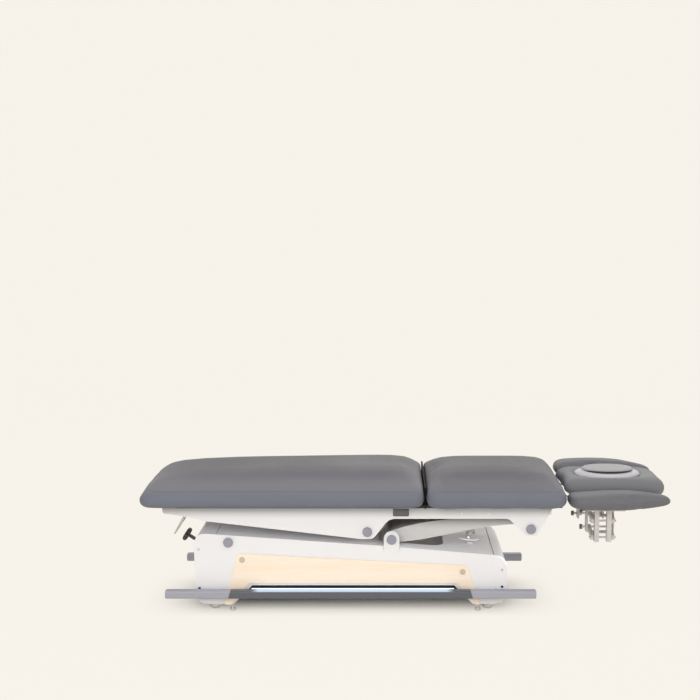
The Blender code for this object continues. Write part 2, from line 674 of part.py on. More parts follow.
# Pivot spindles through the plates, each with a round cap outside either plate
CAP_BEVEL = 0.0015
cap_low = PLATE_OUT + SEAT_GAP
cap_high = cap_low + CAP_HEIGHT
half_spindle = (
    (SHAFT_RADIUS, cap_low),
    (CAP_RADIUS, cap_low),
    (CAP_RADIUS, cap_high - CAP_BEVEL),
    (CAP_RADIUS - CAP_BEVEL, cap_high),
)
spindle_profile = [(r, -y) for r, y in reversed(half_spindle)] + list(half_spindle)
for pivot_name, pivot, pivot_axis in (
    ("rear_base", PIVOT_A, None),
    ("front_base", PIVOT_B, None),
    ("rear_top", PIVOT_C, top_frame_axis),
    ("front_top", PIVOT_D, top_frame_axis),
):
    spindle = bmesh.new()
    rings = []
    for radius, y in spindle_profile:
        rings.append([(x, y, z) for x, z in circle(pivot.x, pivot.z, radius)])
    loft(spindle, rings)
    finish("pivot_" + pivot_name, spindle, CAP_PLASTIC, pivot_axis)

# Lift actuator: motor head and tube on the cradle, and the rod that pushes the front arm's crank
CRANK_PIN = PIVOT_B + CRANK_LENGTH * Vector((math.cos(CRANK_ANGLE), 0, math.sin(CRANK_ANGLE)))
ROD_RADIUS = 0.012
MOTOR_LENGTH = 0.080
TUBE_LENGTH = 0.290
YOKE_HALF_LENGTH = 0.033
YOKE_HALF_HEIGHT = 0.030
YOKE_GAP = 0.0095
YOKE_CHEEK = 0.006
YOKE_BRIDGE = 0.012
YOKE_PLAY = 0.003
CRANK_WIDTH = 0.012
CRANK_RISE = 0.021
motor_foot = CRADLE_X - CRADLE_HALF_DEPTH - 0.020
tube_foot = motor_foot + MOTOR_LENGTH
tube_head = tube_foot + TUBE_LENGTH
actuator = bmesh.new()
motor = rounded([
    (-ACTUATOR_RADIUS, ACTUATOR_Z - ACTUATOR_RADIUS, 0.008),
    (ACTUATOR_RADIUS + 0.045, ACTUATOR_Z - ACTUATOR_RADIUS, 0.012),
    (ACTUATOR_RADIUS + 0.045, ACTUATOR_Z + ACTUATOR_RADIUS, 0.012),
    (-ACTUATOR_RADIUS, ACTUATOR_Z + ACTUATOR_RADIUS, 0.008),
])
prism(actuator, motor, "X", motor_foot, tube_foot)
actuator_body = finish("actuator_body", actuator, BLACK_PLASTIC)
tube = solid(circle(0, ACTUATOR_Z, ACTUATOR_RADIUS - 0.004), "X", tube_foot - 0.010, tube_head)
shape(actuator_body, "UNION", tube)
bore = solid(circle(0, ACTUATOR_Z, bore_radius(ROD_RADIUS)), "X", tube_foot + 0.010, tube_head + CUT_PAST)
shape(actuator_body, "DIFFERENCE", bore)

ROD_IN_TUBE = 0.180
yoke_foot = CRANK_PIN.x - YOKE_HALF_LENGTH
actuator_rod = finish(
    "actuator_rod",
    solid(circle(0, ACTUATOR_Z, ROD_RADIUS), "X", tube_head - ROD_IN_TUBE, yoke_foot - YOKE_BRIDGE / 2),
    BRIGHT_STEEL,
    joint_axis("actuator_rod_axis", (CRANK_PIN.x, 0, ACTUATOR_Z)),
)
yoke = bmesh.new()
block(
    yoke, yoke_foot - YOKE_BRIDGE, CRANK_PIN.x + YOKE_HALF_LENGTH, -YOKE_GAP - YOKE_CHEEK,
    YOKE_GAP + YOKE_CHEEK, ACTUATOR_Z - YOKE_HALF_HEIGHT, ACTUATOR_Z + YOKE_HALF_HEIGHT,
)
shape(actuator_rod, "UNION", yoke)
throat = bmesh.new()
block(
    throat, yoke_foot, CRANK_PIN.x + YOKE_HALF_LENGTH + CUT_PAST, -YOKE_GAP, YOKE_GAP,
    ACTUATOR_Z - YOKE_HALF_HEIGHT - CUT_PAST, ACTUATOR_Z + YOKE_HALF_HEIGHT + CUT_PAST,
)
shape(actuator_rod, "DIFFERENCE", throat)
slot_half = CRANK_PIN_RADIUS + YOKE_PLAY
slot_rise = CRANK_RISE / 2 + CRANK_PIN_RADIUS + YOKE_PLAY
pin_slot = rectangle(
    CRANK_PIN.x - slot_half, CRANK_PIN.x + slot_half, ACTUATOR_Z - slot_rise, ACTUATOR_Z + slot_rise
)
shape(actuator_rod, "DIFFERENCE", solid(pin_slot, "Y", -2 * YOKE_GAP, 2 * YOKE_GAP))

# Castor pedal: a lever through the foot cover with a cross grip
lever_run = Vector((PEDAL_TIP_X - PEDAL_PIVOT_X, PEDAL_TIP_Z - PEDAL_PIVOT_Z))
lever_way = lever_run.normalized()
lever_square = Vector((-lever_way.y, lever_way.x))
LEVER_HALF = 0.008
pedal_start = Vector((PEDAL_PIVOT_X, PEDAL_PIVOT_Z))
lever_end = pedal_start + lever_way * (lever_run.length - PEDAL_GRIP_RADIUS - SEAT_GAP)
lever_outline = []
for i in range(9):
    turn = math.pi * (0.5 + i / 8)
    swing = lever_way * math.cos(turn) + lever_square * math.sin(turn)
    lever_outline.append(tuple(pedal_start + LEVER_HALF * swing))
for half in (-LEVER_HALF, LEVER_HALF):
    lever_outline.append(tuple(lever_end + 0.7 * half * lever_square))
lever_half_width = PEDAL_LEVER_WIDTH / 2
pedal_lever = finish(
    "castor_pedal", solid(lever_outline, "Y", -lever_half_width, lever_half_width), BLACK_PLASTIC, pedal_axis
)
pedal_bore = circle(PEDAL_PIVOT_X, PEDAL_PIVOT_Z, bore_radius(PEDAL_PIN_RADIUS, SMALL_SIDES), SMALL_SIDES)
shape(pedal_lever, "DIFFERENCE", solid(pedal_bore, "Y", -2 * CUT_PAST, 2 * CUT_PAST))
GRIP_END = 0.004
grip_half = PEDAL_GRIP_LENGTH / 2
grip = bmesh.new()
grip_profile = (
    (PEDAL_GRIP_RADIUS - GRIP_END, -grip_half),
    (PEDAL_GRIP_RADIUS, -grip_half + GRIP_END),
    (PEDAL_GRIP_RADIUS, grip_half - GRIP_END),
    (PEDAL_GRIP_RADIUS - GRIP_END, grip_half),
)
loft(grip, [[(x, y, z) for x, z in circle(PEDAL_TIP_X, PEDAL_TIP_Z, r, 16)] for r, y in grip_profile])
finish("pedal_grip", grip, BLACK_PLASTIC, pedal_axis)

# Castor carriages that slide down under the cross beams, with a swivelling castor at each end
AXLE_RADIUS = 0.004
fork_in = WHEEL_WIDTH / 2 + SIDE_PLAY
fork_out = fork_in + FORK_WALL
for end_name, swivel_x in (("foot", SWIVEL_FOOT_X), ("head", SWIVEL_HEAD_X)):
    carriage_axis = joint_axis(f"carriage_{end_name}_axis", (swivel_x, 0, CARRIAGE_BOTTOM))
    reach = SWIVEL_Y + CARRIAGE_OVERHANG
    beam = bmesh.new()
    block(
        beam, swivel_x - CARRIAGE_HALF_DEPTH, swivel_x + CARRIAGE_HALF_DEPTH, -reach, reach,
        CARRIAGE_BOTTOM, CARRIAGE_BOTTOM + CARRIAGE_HEIGHT,
    )
    carriage = finish("castor_carriage_" + end_name, beam, DARK_STEEL, carriage_axis)
    for side_name, side in SIDES:
        swivel_y = side * SWIVEL_Y
        hole = circle(swivel_x, swivel_y, bore_radius(STEM_RADIUS, SMALL_SIDES), SMALL_SIDES)
        hole_top = CARRIAGE_BOTTOM + CARRIAGE_HEIGHT + CUT_PAST
        shape(carriage, "DIFFERENCE", solid(hole, "Z", CARRIAGE_BOTTOM - CUT_PAST, hole_top))
        tag = f"{end_name}_{side_name}"
        swivel = joint_axis("swivel_axis_" + tag, (swivel_x, swivel_y, FORK_TOP), carriage_axis)
        wheel_x = swivel_x - CASTOR_TRAIL
        arch = [
            (swivel_y - fork_out, WHEEL_Z - 0.009), (swivel_y - fork_in, WHEEL_Z - 0.009),
            (swivel_y - fork_in, FORK_TOP - 0.006), (swivel_y + fork_in, FORK_TOP - 0.006),
            (swivel_y + fork_in, WHEEL_Z - 0.009), (swivel_y + fork_out, WHEEL_Z - 0.009),
            (swivel_y + fork_out, FORK_TOP), (swivel_y - fork_out, FORK_TOP),
        ]
        fork = finish(
            "castor_fork_" + tag, solid(arch, "X", wheel_x - 0.011, swivel_x + 0.012), GREY_STEEL, swivel
        )
        stem = circle(swivel_x, swivel_y, STEM_RADIUS, SMALL_SIDES)
        stem_top = CARRIAGE_BOTTOM + CARRIAGE_HEIGHT - 0.002
        shape(fork, "UNION", solid(stem, "Z", FORK_TOP - 0.003, stem_top))
        axle = circle(wheel_x, WHEEL_Z, AXLE_RADIUS, SMALL_SIDES)
        shape(fork, "UNION", solid(axle, "Y", swivel_y - fork_out + 0.001, swivel_y + fork_out - 0.001))
        wheel_axis = joint_axis("wheel_axis_" + tag, (wheel_x, swivel_y, WHEEL_Z), swivel)
        half = WHEEL_WIDTH / 2
        bore = bore_radius(AXLE_RADIUS)
        tread = (
            (bore, -half), (WHEEL_RADIUS * 0.55, -half), (WHEEL_RADIUS - 0.004, -half),
            (WHEEL_RADIUS, -half + 0.005), (WHEEL_RADIUS, half - 0.005),
            (WHEEL_RADIUS - 0.004, half), (WHEEL_RADIUS * 0.55, half), (bore, half),
        )
        wheel = bmesh.new()
        rings = [[(x, swivel_y + y, z) for x, z in circle(wheel_x, WHEEL_Z, r)] for r, y in tread]
        loft(wheel, rings, closed=True)
        finish("castor_wheel_" + tag, wheel, WHEEL_PLASTIC, wheel_axis)

# Foot bars: rounded bars along both sides, on stems that ride in slots of the side plates
BAR_CORNER = 0.006
BAR_STEM_REACH = 0.010
for side_name, side in SIDES:
    bar_axis = joint_axis(f"foot_bar_{side_name}_axis", (BAR_CENTRE_X, side * BAR_CENTRE_Y, BAR_CENTRE_Z))
    depth, height = BAR_DEPTH / 2, BAR_HEIGHT / 2
    rings = []
    for along, shrink in ((0.0, BAR_CORNER / 2), (BAR_CORNER / 2, 0.0)):
        for end in (-1, 1):
            section = rounded([
                (side * BAR_CENTRE_Y - depth + shrink, BAR_CENTRE_Z - height + shrink, BAR_CORNER),
                (side * BAR_CENTRE_Y + depth - shrink, BAR_CENTRE_Z - height + shrink, BAR_CORNER),
                (side * BAR_CENTRE_Y + depth - shrink, BAR_CENTRE_Z + height - shrink, BAR_CORNER),
                (side * BAR_CENTRE_Y - depth + shrink, BAR_CENTRE_Z + height - shrink, BAR_CORNER),
            ], math.radians(30))
            x = BAR_CENTRE_X + end * (BAR_LENGTH / 2 - along)
            rings.append((x, [(x, y, z) for y, z in section]))
    bar = bmesh.new()
    loft(bar, [ring for _, ring in sorted(rings, key=lambda pair: pair[0])])
    foot_bar = finish("foot_bar_" + side_name, bar, BAR_PLASTIC, bar_axis)
    for stem_x in BAR_STEMS:
        stem = circle(stem_x, BAR_CENTRE_Z, BAR_STEM_RADIUS, SMALL_SIDES)
        stem_in = side * (PLATE_IN - BAR_STEM_REACH)
        shape(foot_bar, "UNION", solid(stem, "Y", stem_in, side * (BAR_CENTRE_Y - depth / 2)))

# Rear lift arm: a box beam between two cross tubes
tube_side = PLATE_IN - SIDE_PLAY
beam_half = REAR_BEAM_HEIGHT / 2
rear_beam = [
    arm_point(PIVOT_A, 0, -beam_half), arm_point(PIVOT_A, ARM_LENGTH, -beam_half),
    arm_point(PIVOT_A, ARM_LENGTH, beam_half), arm_point(PIVOT_A, 0, beam_half),
]
rear_arm = finish(
    "rear_lift_arm",
    solid(rear_beam, "Y", -REAR_BEAM_WIDTH / 2, REAR_BEAM_WIDTH / 2),
    WHITE_PAINT,
    rear_arm_axis,
)


def arm_tubes(arm, pivots):
    """Joins a cross tube to an arm at each pivot and bores it for its shaft."""
    for pivot in pivots:
        outer = circle(pivot.x, pivot.z, ARM_TUBE_RADIUS)
        shape(arm, "UNION", solid(outer, "Y", -tube_side, tube_side))
    for pivot in pivots:
        inner = circle(pivot.x, pivot.z, bore_radius(SHAFT_RADIUS))
        shape(arm, "DIFFERENCE", solid(inner, "Y", -PLATE_OUT, PLATE_OUT))


arm_tubes(rear_arm, (PIVOT_A, PIVOT_C))

# Front lift arm: a wide swept box with an arched lower edge, and the crank that the actuator pushes
FRONT_ARM_CROWN = 0.030
FRONT_ARM_SHOULDER = 0.026
FRONT_ARM_ARCH_LOW = -0.020
FRONT_ARM_ARCH_HIGH = 0.016
FRONT_ARM_STEPS = 10


def front_arm_top(share):
    return FRONT_ARM_SHOULDER + FRONT_ARM_CROWN * math.sin(math.pi * share) ** 0.7


def front_arm_arch(share):
    """Lower edge, easing from below the base pivot to above the line of pivots."""
    ease = min(1.0, max(0.0, (share - 0.08) / 0.72))
    ease = ease * ease * (3 - 2 * ease)
    return FRONT_ARM_ARCH_LOW + ease * (FRONT_ARM_ARCH_HIGH - FRONT_ARM_ARCH_LOW)


def front_arm_outline(first, last, top_drop, arch_drop):
    shares = [first + (last - first) * i / FRONT_ARM_STEPS for i in range(FRONT_ARM_STEPS + 1)]
    lower = [arm_point(PIVOT_B, s * ARM_LENGTH, front_arm_arch(s) - arch_drop) for s in shares]
    upper = [arm_point(PIVOT_B, s * ARM_LENGTH, front_arm_top(s) - top_drop) for s in reversed(shares)]
    return lower + upper


front_half = FRONT_ARM_WIDTH / 2
front_arm = finish(
    "front_lift_arm",
    solid(front_arm_outline(0.0, 1.0, 0, 0), "Y", -front_half, front_half),
    WHITE_PAINT,
    front_arm_axis,
)
hollow_half = front_half - FRONT_ARM_WALL
hollow = solid(front_arm_outline(0.06, 0.94, FRONT_ARM_WALL, 0.060), "Y", -hollow_half, hollow_half)
shape(front_arm, "DIFFERENCE", hollow)
crank_way = (CRANK_PIN - PIVOT_B).normalized()
crank_square = Vector((-crank_way.z, 0, crank_way.x))
CRANK_HALF = 0.014
crank_tip = CRANK_PIN + crank_way * CRANK_HALF * 0.9
crank_outline = []
for centre, half in ((PIVOT_B, -CRANK_HALF), (crank_tip, -CRANK_HALF * 0.8),
                     (crank_tip, CRANK_HALF * 0.8), (PIVOT_B, CRANK_HALF)):
    corner = centre + half * crank_square
    crank_outline.append((corner.x, corner.z))
shape(front_arm, "UNION", solid(crank_outline, "Y", -CRANK_WIDTH / 2, CRANK_WIDTH / 2))
pin_reach = YOKE_GAP + YOKE_CHEEK + 0.003
crank_pin = circle(CRANK_PIN.x, CRANK_PIN.z, CRANK_PIN_RADIUS, SMALL_SIDES)
shape(front_arm, "UNION", solid(crank_pin, "Y", -pin_reach, pin_reach))
arm_tubes(front_arm, (PIVOT_B, PIVOT_D))

# Top frame side plates: a long web with a rounded lug at each upper pivot
FRAME_FOOT_X = FOOT_END + 0.072
FRAME_NOSE_DROP = 0.0205
FRAME_BENDS = ((FRAME_FOOT_X + 0.088, 0.379), (FRAME_FOOT_X + 0.169, 0.360))
FRAME_BRIDGE_Z = 0.370
FRAME_HEAD_X = HEAD_GAP_X - 0.054
LUG_DROP = 0.0275
frame_outline = rounded([
    (FRAME_FOOT_X, FRAME_TOP, 0),
    (FRAME_FOOT_X + 0.0015, FRAME_TOP - FRAME_NOSE_DROP, 0.008),
    (*FRAME_BENDS[0], 0.05),
    (*FRAME_BENDS[1], 0.05),
    (PIVOT_C.x - 0.030, PIVOT_C.z - LUG_DROP, 0.03),
    (PIVOT_C.x + 0.022, PIVOT_C.z - LUG_DROP, 0.026),
    (PIVOT_C.x + 0.085, FRAME_BRIDGE_Z, 0.045),
    (PIVOT_D.x - 0.085, FRAME_BRIDGE_Z, 0.03),
    (PIVOT_D.x - 0.020, PIVOT_D.z - LUG_DROP, 0.024),
    (PIVOT_D.x + 0.024, PIVOT_D.z - LUG_DROP, 0.024),
    (FRAME_HEAD_X, FRAME_TOP, 0),
])
for side_name, side in SIDES:
    plate = finish(
        "frame_plate_" + side_name,
        solid(frame_outline, "Y", side * PLATE_IN, side * PLATE_OUT),
        WHITE_PAINT,
        top_frame_axis,
    )
    for pivot in (PIVOT_C, PIVOT_D):
        hole = solid(
            circle(pivot.x, pivot.z, bore_radius(SHAFT_RADIUS)), "Y",
            side * (PLATE_IN - CUT_PAST), side * (PLATE_OUT + CUT_PAST),
        )
        shape(plate, "DIFFERENCE", hole)

# Cross rails between the frame plates; the middle one carries the leg hinge's fixed leaf
FOOT_RAIL_X = FRAME_FOOT_X + 0.064
RAIL_DEPTH = 0.030
SHALLOW_RAIL = 0.020
DEEP_RAIL = 0.027
LEAF_OFFSET = 0.0006
KNUCKLE_PLAY = 0.0003
rail = bmesh.new()
block(
    rail, FOOT_RAIL_X, FOOT_RAIL_X + RAIL_DEPTH, -BETWEEN_PLATES, BETWEEN_PLATES,
    FRAME_TOP - SHALLOW_RAIL, FRAME_TOP - SEAT_GAP,
)
finish("rail_foot", rail, WHITE_PAINT, top_frame_axis)


def knuckle(axis_x, axis_z, side, leaf_foot):
    """Outline of a hinge barrel with its leaf hanging on one side of the axis down to leaf_foot."""
    near, far = LEAF_OFFSET + 0.0001, LEAF_OFFSET + LEAF_THICKNESS - 0.0001
    start = -math.acos(near / KNUCKLE_RADIUS)
    sweep = 2 * math.pi + start + math.acos(far / KNUCKLE_RADIUS)
    outline = []
    for i in range(13):
        turn = start - sweep * i / 12
        across = side * KNUCKLE_RADIUS * math.cos(turn)
        outline.append((axis_x + across, axis_z + KNUCKLE_RADIUS * math.sin(turn)))
    return outline + [(axis_x + side * far, leaf_foot), (axis_x + side * near, leaf_foot)]


leg_leaf_half = LEG_HINGE_WIDTH / 2
leg_knuckle_half = LEG_KNUCKLE_WIDTH / 2
leg_leaf_top = LEG_HINGE_Z - KNUCKLE_RADIUS - 2 * KNUCKLE_PLAY
leaf_far = LEAF_OFFSET + LEAF_THICKNESS
rail = bmesh.new()
block(
    rail, LEG_GAP_X - RAIL_DEPTH, LEG_GAP_X + leaf_far, -BETWEEN_PLATES, BETWEEN_PLATES,
    FRAME_TOP - DEEP_RAIL, FRAME_TOP - SEAT_GAP,
)
rail_middle = finish("rail_middle", rail, WHITE_PAINT, top_frame_axis)
neck = bmesh.new()
block(
    neck, LEG_GAP_X + LEAF_OFFSET + 0.0002, LEG_GAP_X + leaf_far - 0.0002,
    -BETWEEN_PLATES + WELD_LAP, BETWEEN_PLATES - WELD_LAP, FRAME_TOP - WELD_LAP, BOARD_TOP,
)
shape(rail_middle, "UNION", neck)
leaf = bmesh.new()
block(
    leaf, LEG_GAP_X + LEAF_OFFSET, LEG_GAP_X + leaf_far, -leg_leaf_half, leg_leaf_half,
    BOARD_BOTTOM + WELD_BITE, leg_leaf_top,
)
shape(rail_middle, "UNION", leaf)
fixed_barrel = knuckle(LEG_GAP_X, LEG_HINGE_Z, 1, leg_leaf_top - WELD_LAP)
barrels = bmesh.new()
for _, side in SIDES:
    inner = leg_knuckle_half + KNUCKLE_PLAY
    prism(barrels, fixed_barrel, "Y", side * inner, side * (leg_leaf_half - WELD_BITE))
shape(rail_middle, "UNION", barrels)
hinge_pin = circle(LEG_GAP_X, LEG_HINGE_Z, HINGE_PIN_RADIUS, SMALL_SIDES)
pin_half = leg_leaf_half - WELD_LAP
shape(rail_middle, "UNION", solid(hinge_pin, "Y", -pin_half, pin_half))

# Head rail with the lugs that carry the head section's hinge pins
HEAD_RAIL_FROM_GAP = 0.088
HEAD_RAIL_X = HEAD_GAP_X - HEAD_RAIL_FROM_GAP
LUG_THICKNESS = 0.008
STRAP_THICKNESS = 0.003
lug_foot = FRAME_TOP - 0.0157
lug_shelf = FRAME_TOP - 0.0033
strap_half = HEAD_STRAP_WIDTH / 2
rail = bmesh.new()
block(
    rail, HEAD_RAIL_X, HEAD_RAIL_X + RAIL_DEPTH, -BETWEEN_PLATES, BETWEEN_PLATES,
    FRAME_TOP - DEEP_RAIL, FRAME_TOP - SEAT_GAP,
)
rail_head = finish("rail_head", rail, WHITE_PAINT, top_frame_axis)
barrel = knuckle(HEAD_GAP_X, HEAD_HINGE_Z, -1, lug_foot)
lug_outline = barrel[:-2] + [
    (HEAD_GAP_X - leaf_far + 0.0001, lug_shelf),
    (HEAD_RAIL_X + RAIL_DEPTH - WELD_LAP, lug_shelf),
    (HEAD_RAIL_X + RAIL_DEPTH - WELD_LAP, lug_foot),
    (HEAD_GAP_X - LEAF_OFFSET - 0.0001, lug_foot),
]
lugs = bmesh.new()
pins = bmesh.new()
for _, side in SIDES:
    for flank in (-1, 1):
        low = side * HEAD_STRAP_Y + flank * (strap_half + 2 * KNUCKLE_PLAY)
        prism(lugs, lug_outline, "Y", low, low + flank * LUG_THICKNESS)
    reach = strap_half + LUG_THICKNESS - WELD_BITE
    pin = circle(HEAD_GAP_X, HEAD_HINGE_Z, HINGE_PIN_RADIUS, SMALL_SIDES)
    prism(pins, pin, "Y", side * HEAD_STRAP_Y - reach, side * HEAD_STRAP_Y + reach)
shape(rail_head, "UNION", lugs)
shape(rail_head, "UNION", pins)

# Bent wire holder for the paper roll, under the foot rail
ROLL_FROM_FOOT = 0.024
ROLL_X = FRAME_FOOT_X + ROLL_FROM_FOOT
ROLL_Z = 0.280
ROLL_HALF = 0.140
WIRE_RADIUS = 0.003
WIRE_BEND = 0.012
wire_top = FRAME_TOP - SHALLOW_RAIL - SEAT_GAP
wire_root = Vector((FOOT_RAIL_X + RAIL_DEPTH / 2, ROLL_HALF, wire_top))
wire_neck = wire_root - Vector((0, 0, WIRE_BEND))
wire_knee = Vector((ROLL_X, ROLL_HALF, ROLL_Z))
wire_way = (wire_neck - wire_knee).normalized()
wire_points = [wire_root, wire_neck]
for i in range(6):
    share = i / 5
    blend_in = wire_knee + wire_way * WIRE_BEND * (1 - share) ** 2
    wire_points.append(blend_in + Vector((0, -WIRE_BEND * share ** 2, 0)))
wire_points += [Vector((p.x, -p.y, p.z)) for p in reversed(wire_points)]
wire = bpy.data.curves.new("paper_roll_holder", "CURVE")
wire.dimensions = "3D"
wire.bevel_depth = WIRE_RADIUS
wire.bevel_resolution = 1
wire.use_fill_caps = True
spline = wire.splines.new("POLY")
spline.points.add(len(wire_points) - 1)
for point, target in zip(spline.points, wire_points):
    point.co = (*(target - PIVOT_C), 1)
wire.materials.append(paint("paper_roll_holder_steel", *BRIGHT_STEEL[1:]))
holder = bpy.data.objects.new("paper_roll_holder", wire)
bpy.context.collection.objects.link(holder)
holder.parent = top_frame_axis

# Middle and leg boards; the leg board carries the moving leaf of its hinge
FOOT_BOARD_CORNER = 0.060
MIDDLE_BOARD_BACK = 0.012
board_half = TABLE_WIDTH / 2 - BOARD_SETBACK
board_end = SECTION_GAP / 2
board = bmesh.new()
block(
    board, LEG_GAP_X + board_end, HEAD_GAP_X - board_end - MIDDLE_BOARD_BACK, -board_half, board_half,
    BOARD_BOTTOM, BOARD_TOP,
)
finish("middle_board", board, BOARD_WOOD, top_frame_axis)
leg_outline = rounded([
    (FOOT_END + BOARD_SETBACK, -board_half, FOOT_BOARD_CORNER),
    (LEG_GAP_X - board_end, -board_half, 0),
    (LEG_GAP_X - board_end, board_half, 0),
    (FOOT_END + BOARD_SETBACK, board_half, FOOT_BOARD_CORNER),
])
leg_board = finish(
    "leg_board", solid(leg_outline, "Z", BOARD_BOTTOM, BOARD_TOP), BOARD_WOOD, leg_axis)
leaf = bmesh.new()
block(
    leaf, LEG_GAP_X - leaf_far, LEG_GAP_X - LEAF_OFFSET, -leg_leaf_half, leg_leaf_half,
    BOARD_BOTTOM + WELD_BITE, leg_leaf_top,
)
shape(leg_board, "UNION", leaf)
root_half = min(leg_leaf_half, board_half) - WELD_LAP
root = bmesh.new()
block(
    root, LEG_GAP_X - board_end - WELD_LAP, LEG_GAP_X - LEAF_OFFSET - 0.0006,
    -root_half, root_half,
    BOARD_BOTTOM + 2 * WELD_BITE, BOARD_TOP - WELD_BITE,
)
shape(leg_board, "UNION", root)
moving_half = leg_knuckle_half - KNUCKLE_PLAY
moving_barrel = knuckle(LEG_GAP_X, LEG_HINGE_Z, -1, leg_leaf_top - WELD_LAP)
shape(leg_board, "UNION", solid(moving_barrel, "Y", -moving_half, moving_half))
pin_bore = circle(LEG_GAP_X, LEG_HINGE_Z, bore_radius(HINGE_PIN_RADIUS, SMALL_SIDES), SMALL_SIDES)
shape(leg_board, "DIFFERENCE", solid(pin_bore, "Y", -leg_knuckle_half, leg_knuckle_half))

# Cushions: lofted rings that swell from the board, round over and rise to a crown
CORNER_STEPS = 5
LONG_STEPS = 8
SHORT_STEPS = 4
LONG_DRAW = 0.004
SHORT_DRAW = 0.002
pad_bottom = BOARD_TOP + SEAT_GAP
PAD_PROFILE = (
    (0.010, 0.00), (0.003, 0.08), (0.000, 0.20), (0.0005, 0.36), (0.004, 0.50), (0.011, 0.63),
    (0.023, 0.755), (0.042, 0.86), (0.075, 0.935), (0.130, 0.98), (0.220, 1.00),
)


def pad_ring(low_x, high_x, half, low_corner, high_corner, inset=0, low_pull=1.0):
    """Plan points of a cushion: rounded corners, and sides drawn in towards their middle."""
    low_x, high_x, half = low_x + inset * low_pull, high_x - inset, half - inset
    most = 0.45 * min(high_x - low_x, 2 * half)
    low_r, high_r = min(low_corner, most), min(high_corner, most)
    corners = ((high_x, half, high_r), (low_x, half, low_r),
               (low_x, -half, low_r), (high_x, -half, high_r))
    ring = []
    for i, (x, y, r) in enumerate(corners):
        centre = Vector((x - math.copysign(r, x - low_x - 1e-6), y - math.copysign(r, y)))
        for k in range(CORNER_STEPS + 1):
            turn = math.pi / 2 * (i + k / CORNER_STEPS)
            ring.append(centre + r * Vector((math.cos(turn), math.sin(turn))))
        steps, draw = (LONG_STEPS, LONG_DRAW) if i % 2 == 0 else (SHORT_STEPS, SHORT_DRAW)
        after = corners[(i + 1) % 4]
        after_centre = Vector((after[0] - math.copysign(after[2], after[0] - low_x - 1e-6),
                               after[1] - math.copysign(after[2], after[1])))
        turn = math.pi / 2 * (i + 1)
        outward = Vector((math.cos(turn), math.sin(turn)))
        start, stop = ring[-1], after_centre + after[2] * outward
        for k in range(1, steps + 1):
            share = k / (steps + 1)
            ring.append(start.lerp(stop, share) - outward * draw * math.sin(math.pi * share))
    return ring


def lift(ring, z):
    return [(p[0], p[1], z) for p in ring]


def cushion(name, low_x, high_x, low_corner, high_corner, axis, low_pull=1.0):
    """A padded block whose low end rolls over more gently by the factor low_pull."""
    rings = []
    for inset, share in PAD_PROFILE:
        pull = low_pull if share > 0.3 else 1.0
        plan = pad_ring(low_x, high_x, TABLE_WIDTH / 2, low_corner, high_corner, inset, pull)
        rings.append(lift(plan, pad_bottom + share * CUSHION_HEIGHT))
    pad = bmesh.new()
    loft(pad, rings)
    return finish(name, pad, UPHOLSTERY, axis, 60)


cushion(
    "leg_cushion", FOOT_END, LEG_GAP_X - board_end, FOOT_CORNER, CUSHION_CORNER, leg_axis, FOOT_ROUNDING,
)
cushion(
    "middle_cushion", LEG_GAP_X + board_end, HEAD_GAP_X - board_end,
    CUSHION_CORNER, CUSHION_CORNER, top_frame_axis,
)

# Head section frame: two hinged straps, two cross bars and the armrest mounts with their pins
STRAP_END_X = HEAD_END - 0.066
CROSS_BAR_WIDTH = 0.014
MOUNT_THICKNESS = 0.006
MOUNT_HALF = 0.025
MOUNT_BOTTOM = 0.290
KNOB_RADIUS = 0.010
KNOB_LENGTH = 0.012
head_board_x = HEAD_GAP_X + HEAD_UNDERCUT + STRAP_THICKNESS
strap_path = [(HEAD_GAP_X, HEAD_HINGE_Z), (head_board_x, FRAME_TOP), (STRAP_END_X, FRAME_TOP)]
strap_outline = ribbon(strap_path, STRAP_THICKNESS)
straps = bmesh.new()
for _, side in SIDES:
    prism(straps, strap_outline, "Y", side * HEAD_STRAP_Y - strap_half, side * HEAD_STRAP_Y + strap_half)
head_frame = finish("head_frame", straps, WHITE_PAINT, head_axis)
barrels = bmesh.new()
bores = bmesh.new()
for _, side in SIDES:
    middle = side * HEAD_STRAP_Y
    barrel = circle(HEAD_GAP_X, HEAD_HINGE_Z, KNUCKLE_RADIUS, SMALL_SIDES)
    prism(barrels, barrel, "Y", middle - strap_half + 0.0002, middle + strap_half - 0.0002)
    bore = circle(HEAD_GAP_X, HEAD_HINGE_Z, bore_radius(HINGE_PIN_RADIUS, SMALL_SIDES), SMALL_SIDES)
    prism(bores, bore, "Y", middle - strap_half - CUT_PAST, middle + strap_half + CUT_PAST)
shape(head_frame, "UNION", barrels)
shape(head_frame, "DIFFERENCE", bores)
bars = bmesh.new()
for bar_x in (head_board_x + 0.001, STRAP_END_X - 2 * CROSS_BAR_WIDTH):
    block(
        bars, bar_x, bar_x + CROSS_BAR_WIDTH, -HEAD_STRAP_Y, HEAD_STRAP_Y,
        FRAME_TOP - 0.0072, FRAME_TOP - 0.0002,
    )
shape(head_frame, "UNION", bars)
mount_low = ARM_LINKAGE_X - ARM_LINKAGE_WIDTH / 2
mount_high = ARM_LINKAGE_X + ARM_LINKAGE_WIDTH / 2
mounts = bmesh.new()
arm_pins = bmesh.new()
for _, side in SIDES:
    plan = (side * (ARM_MOUNT_Y - MOUNT_HALF), side * (ARM_MOUNT_Y + MOUNT_HALF))
    for x in (mount_low, mount_high - MOUNT_THICKNESS):
        block(mounts, x, x + MOUNT_THICKNESS, min(plan), max(plan), MOUNT_BOTTOM, FRAME_TOP - 0.0012)
    for z in (ARM_UPPER_Z, ARM_LOWER_Z):
        pin = circle(side * ARM_MOUNT_Y, z, ARM_PIN_RADIUS, SMALL_SIDES)
        prism(arm_pins, pin, "X", mount_low - 2 * KNOB_LENGTH + 0.002, mount_high + 0.004)
shape(head_frame, "UNION", mounts)
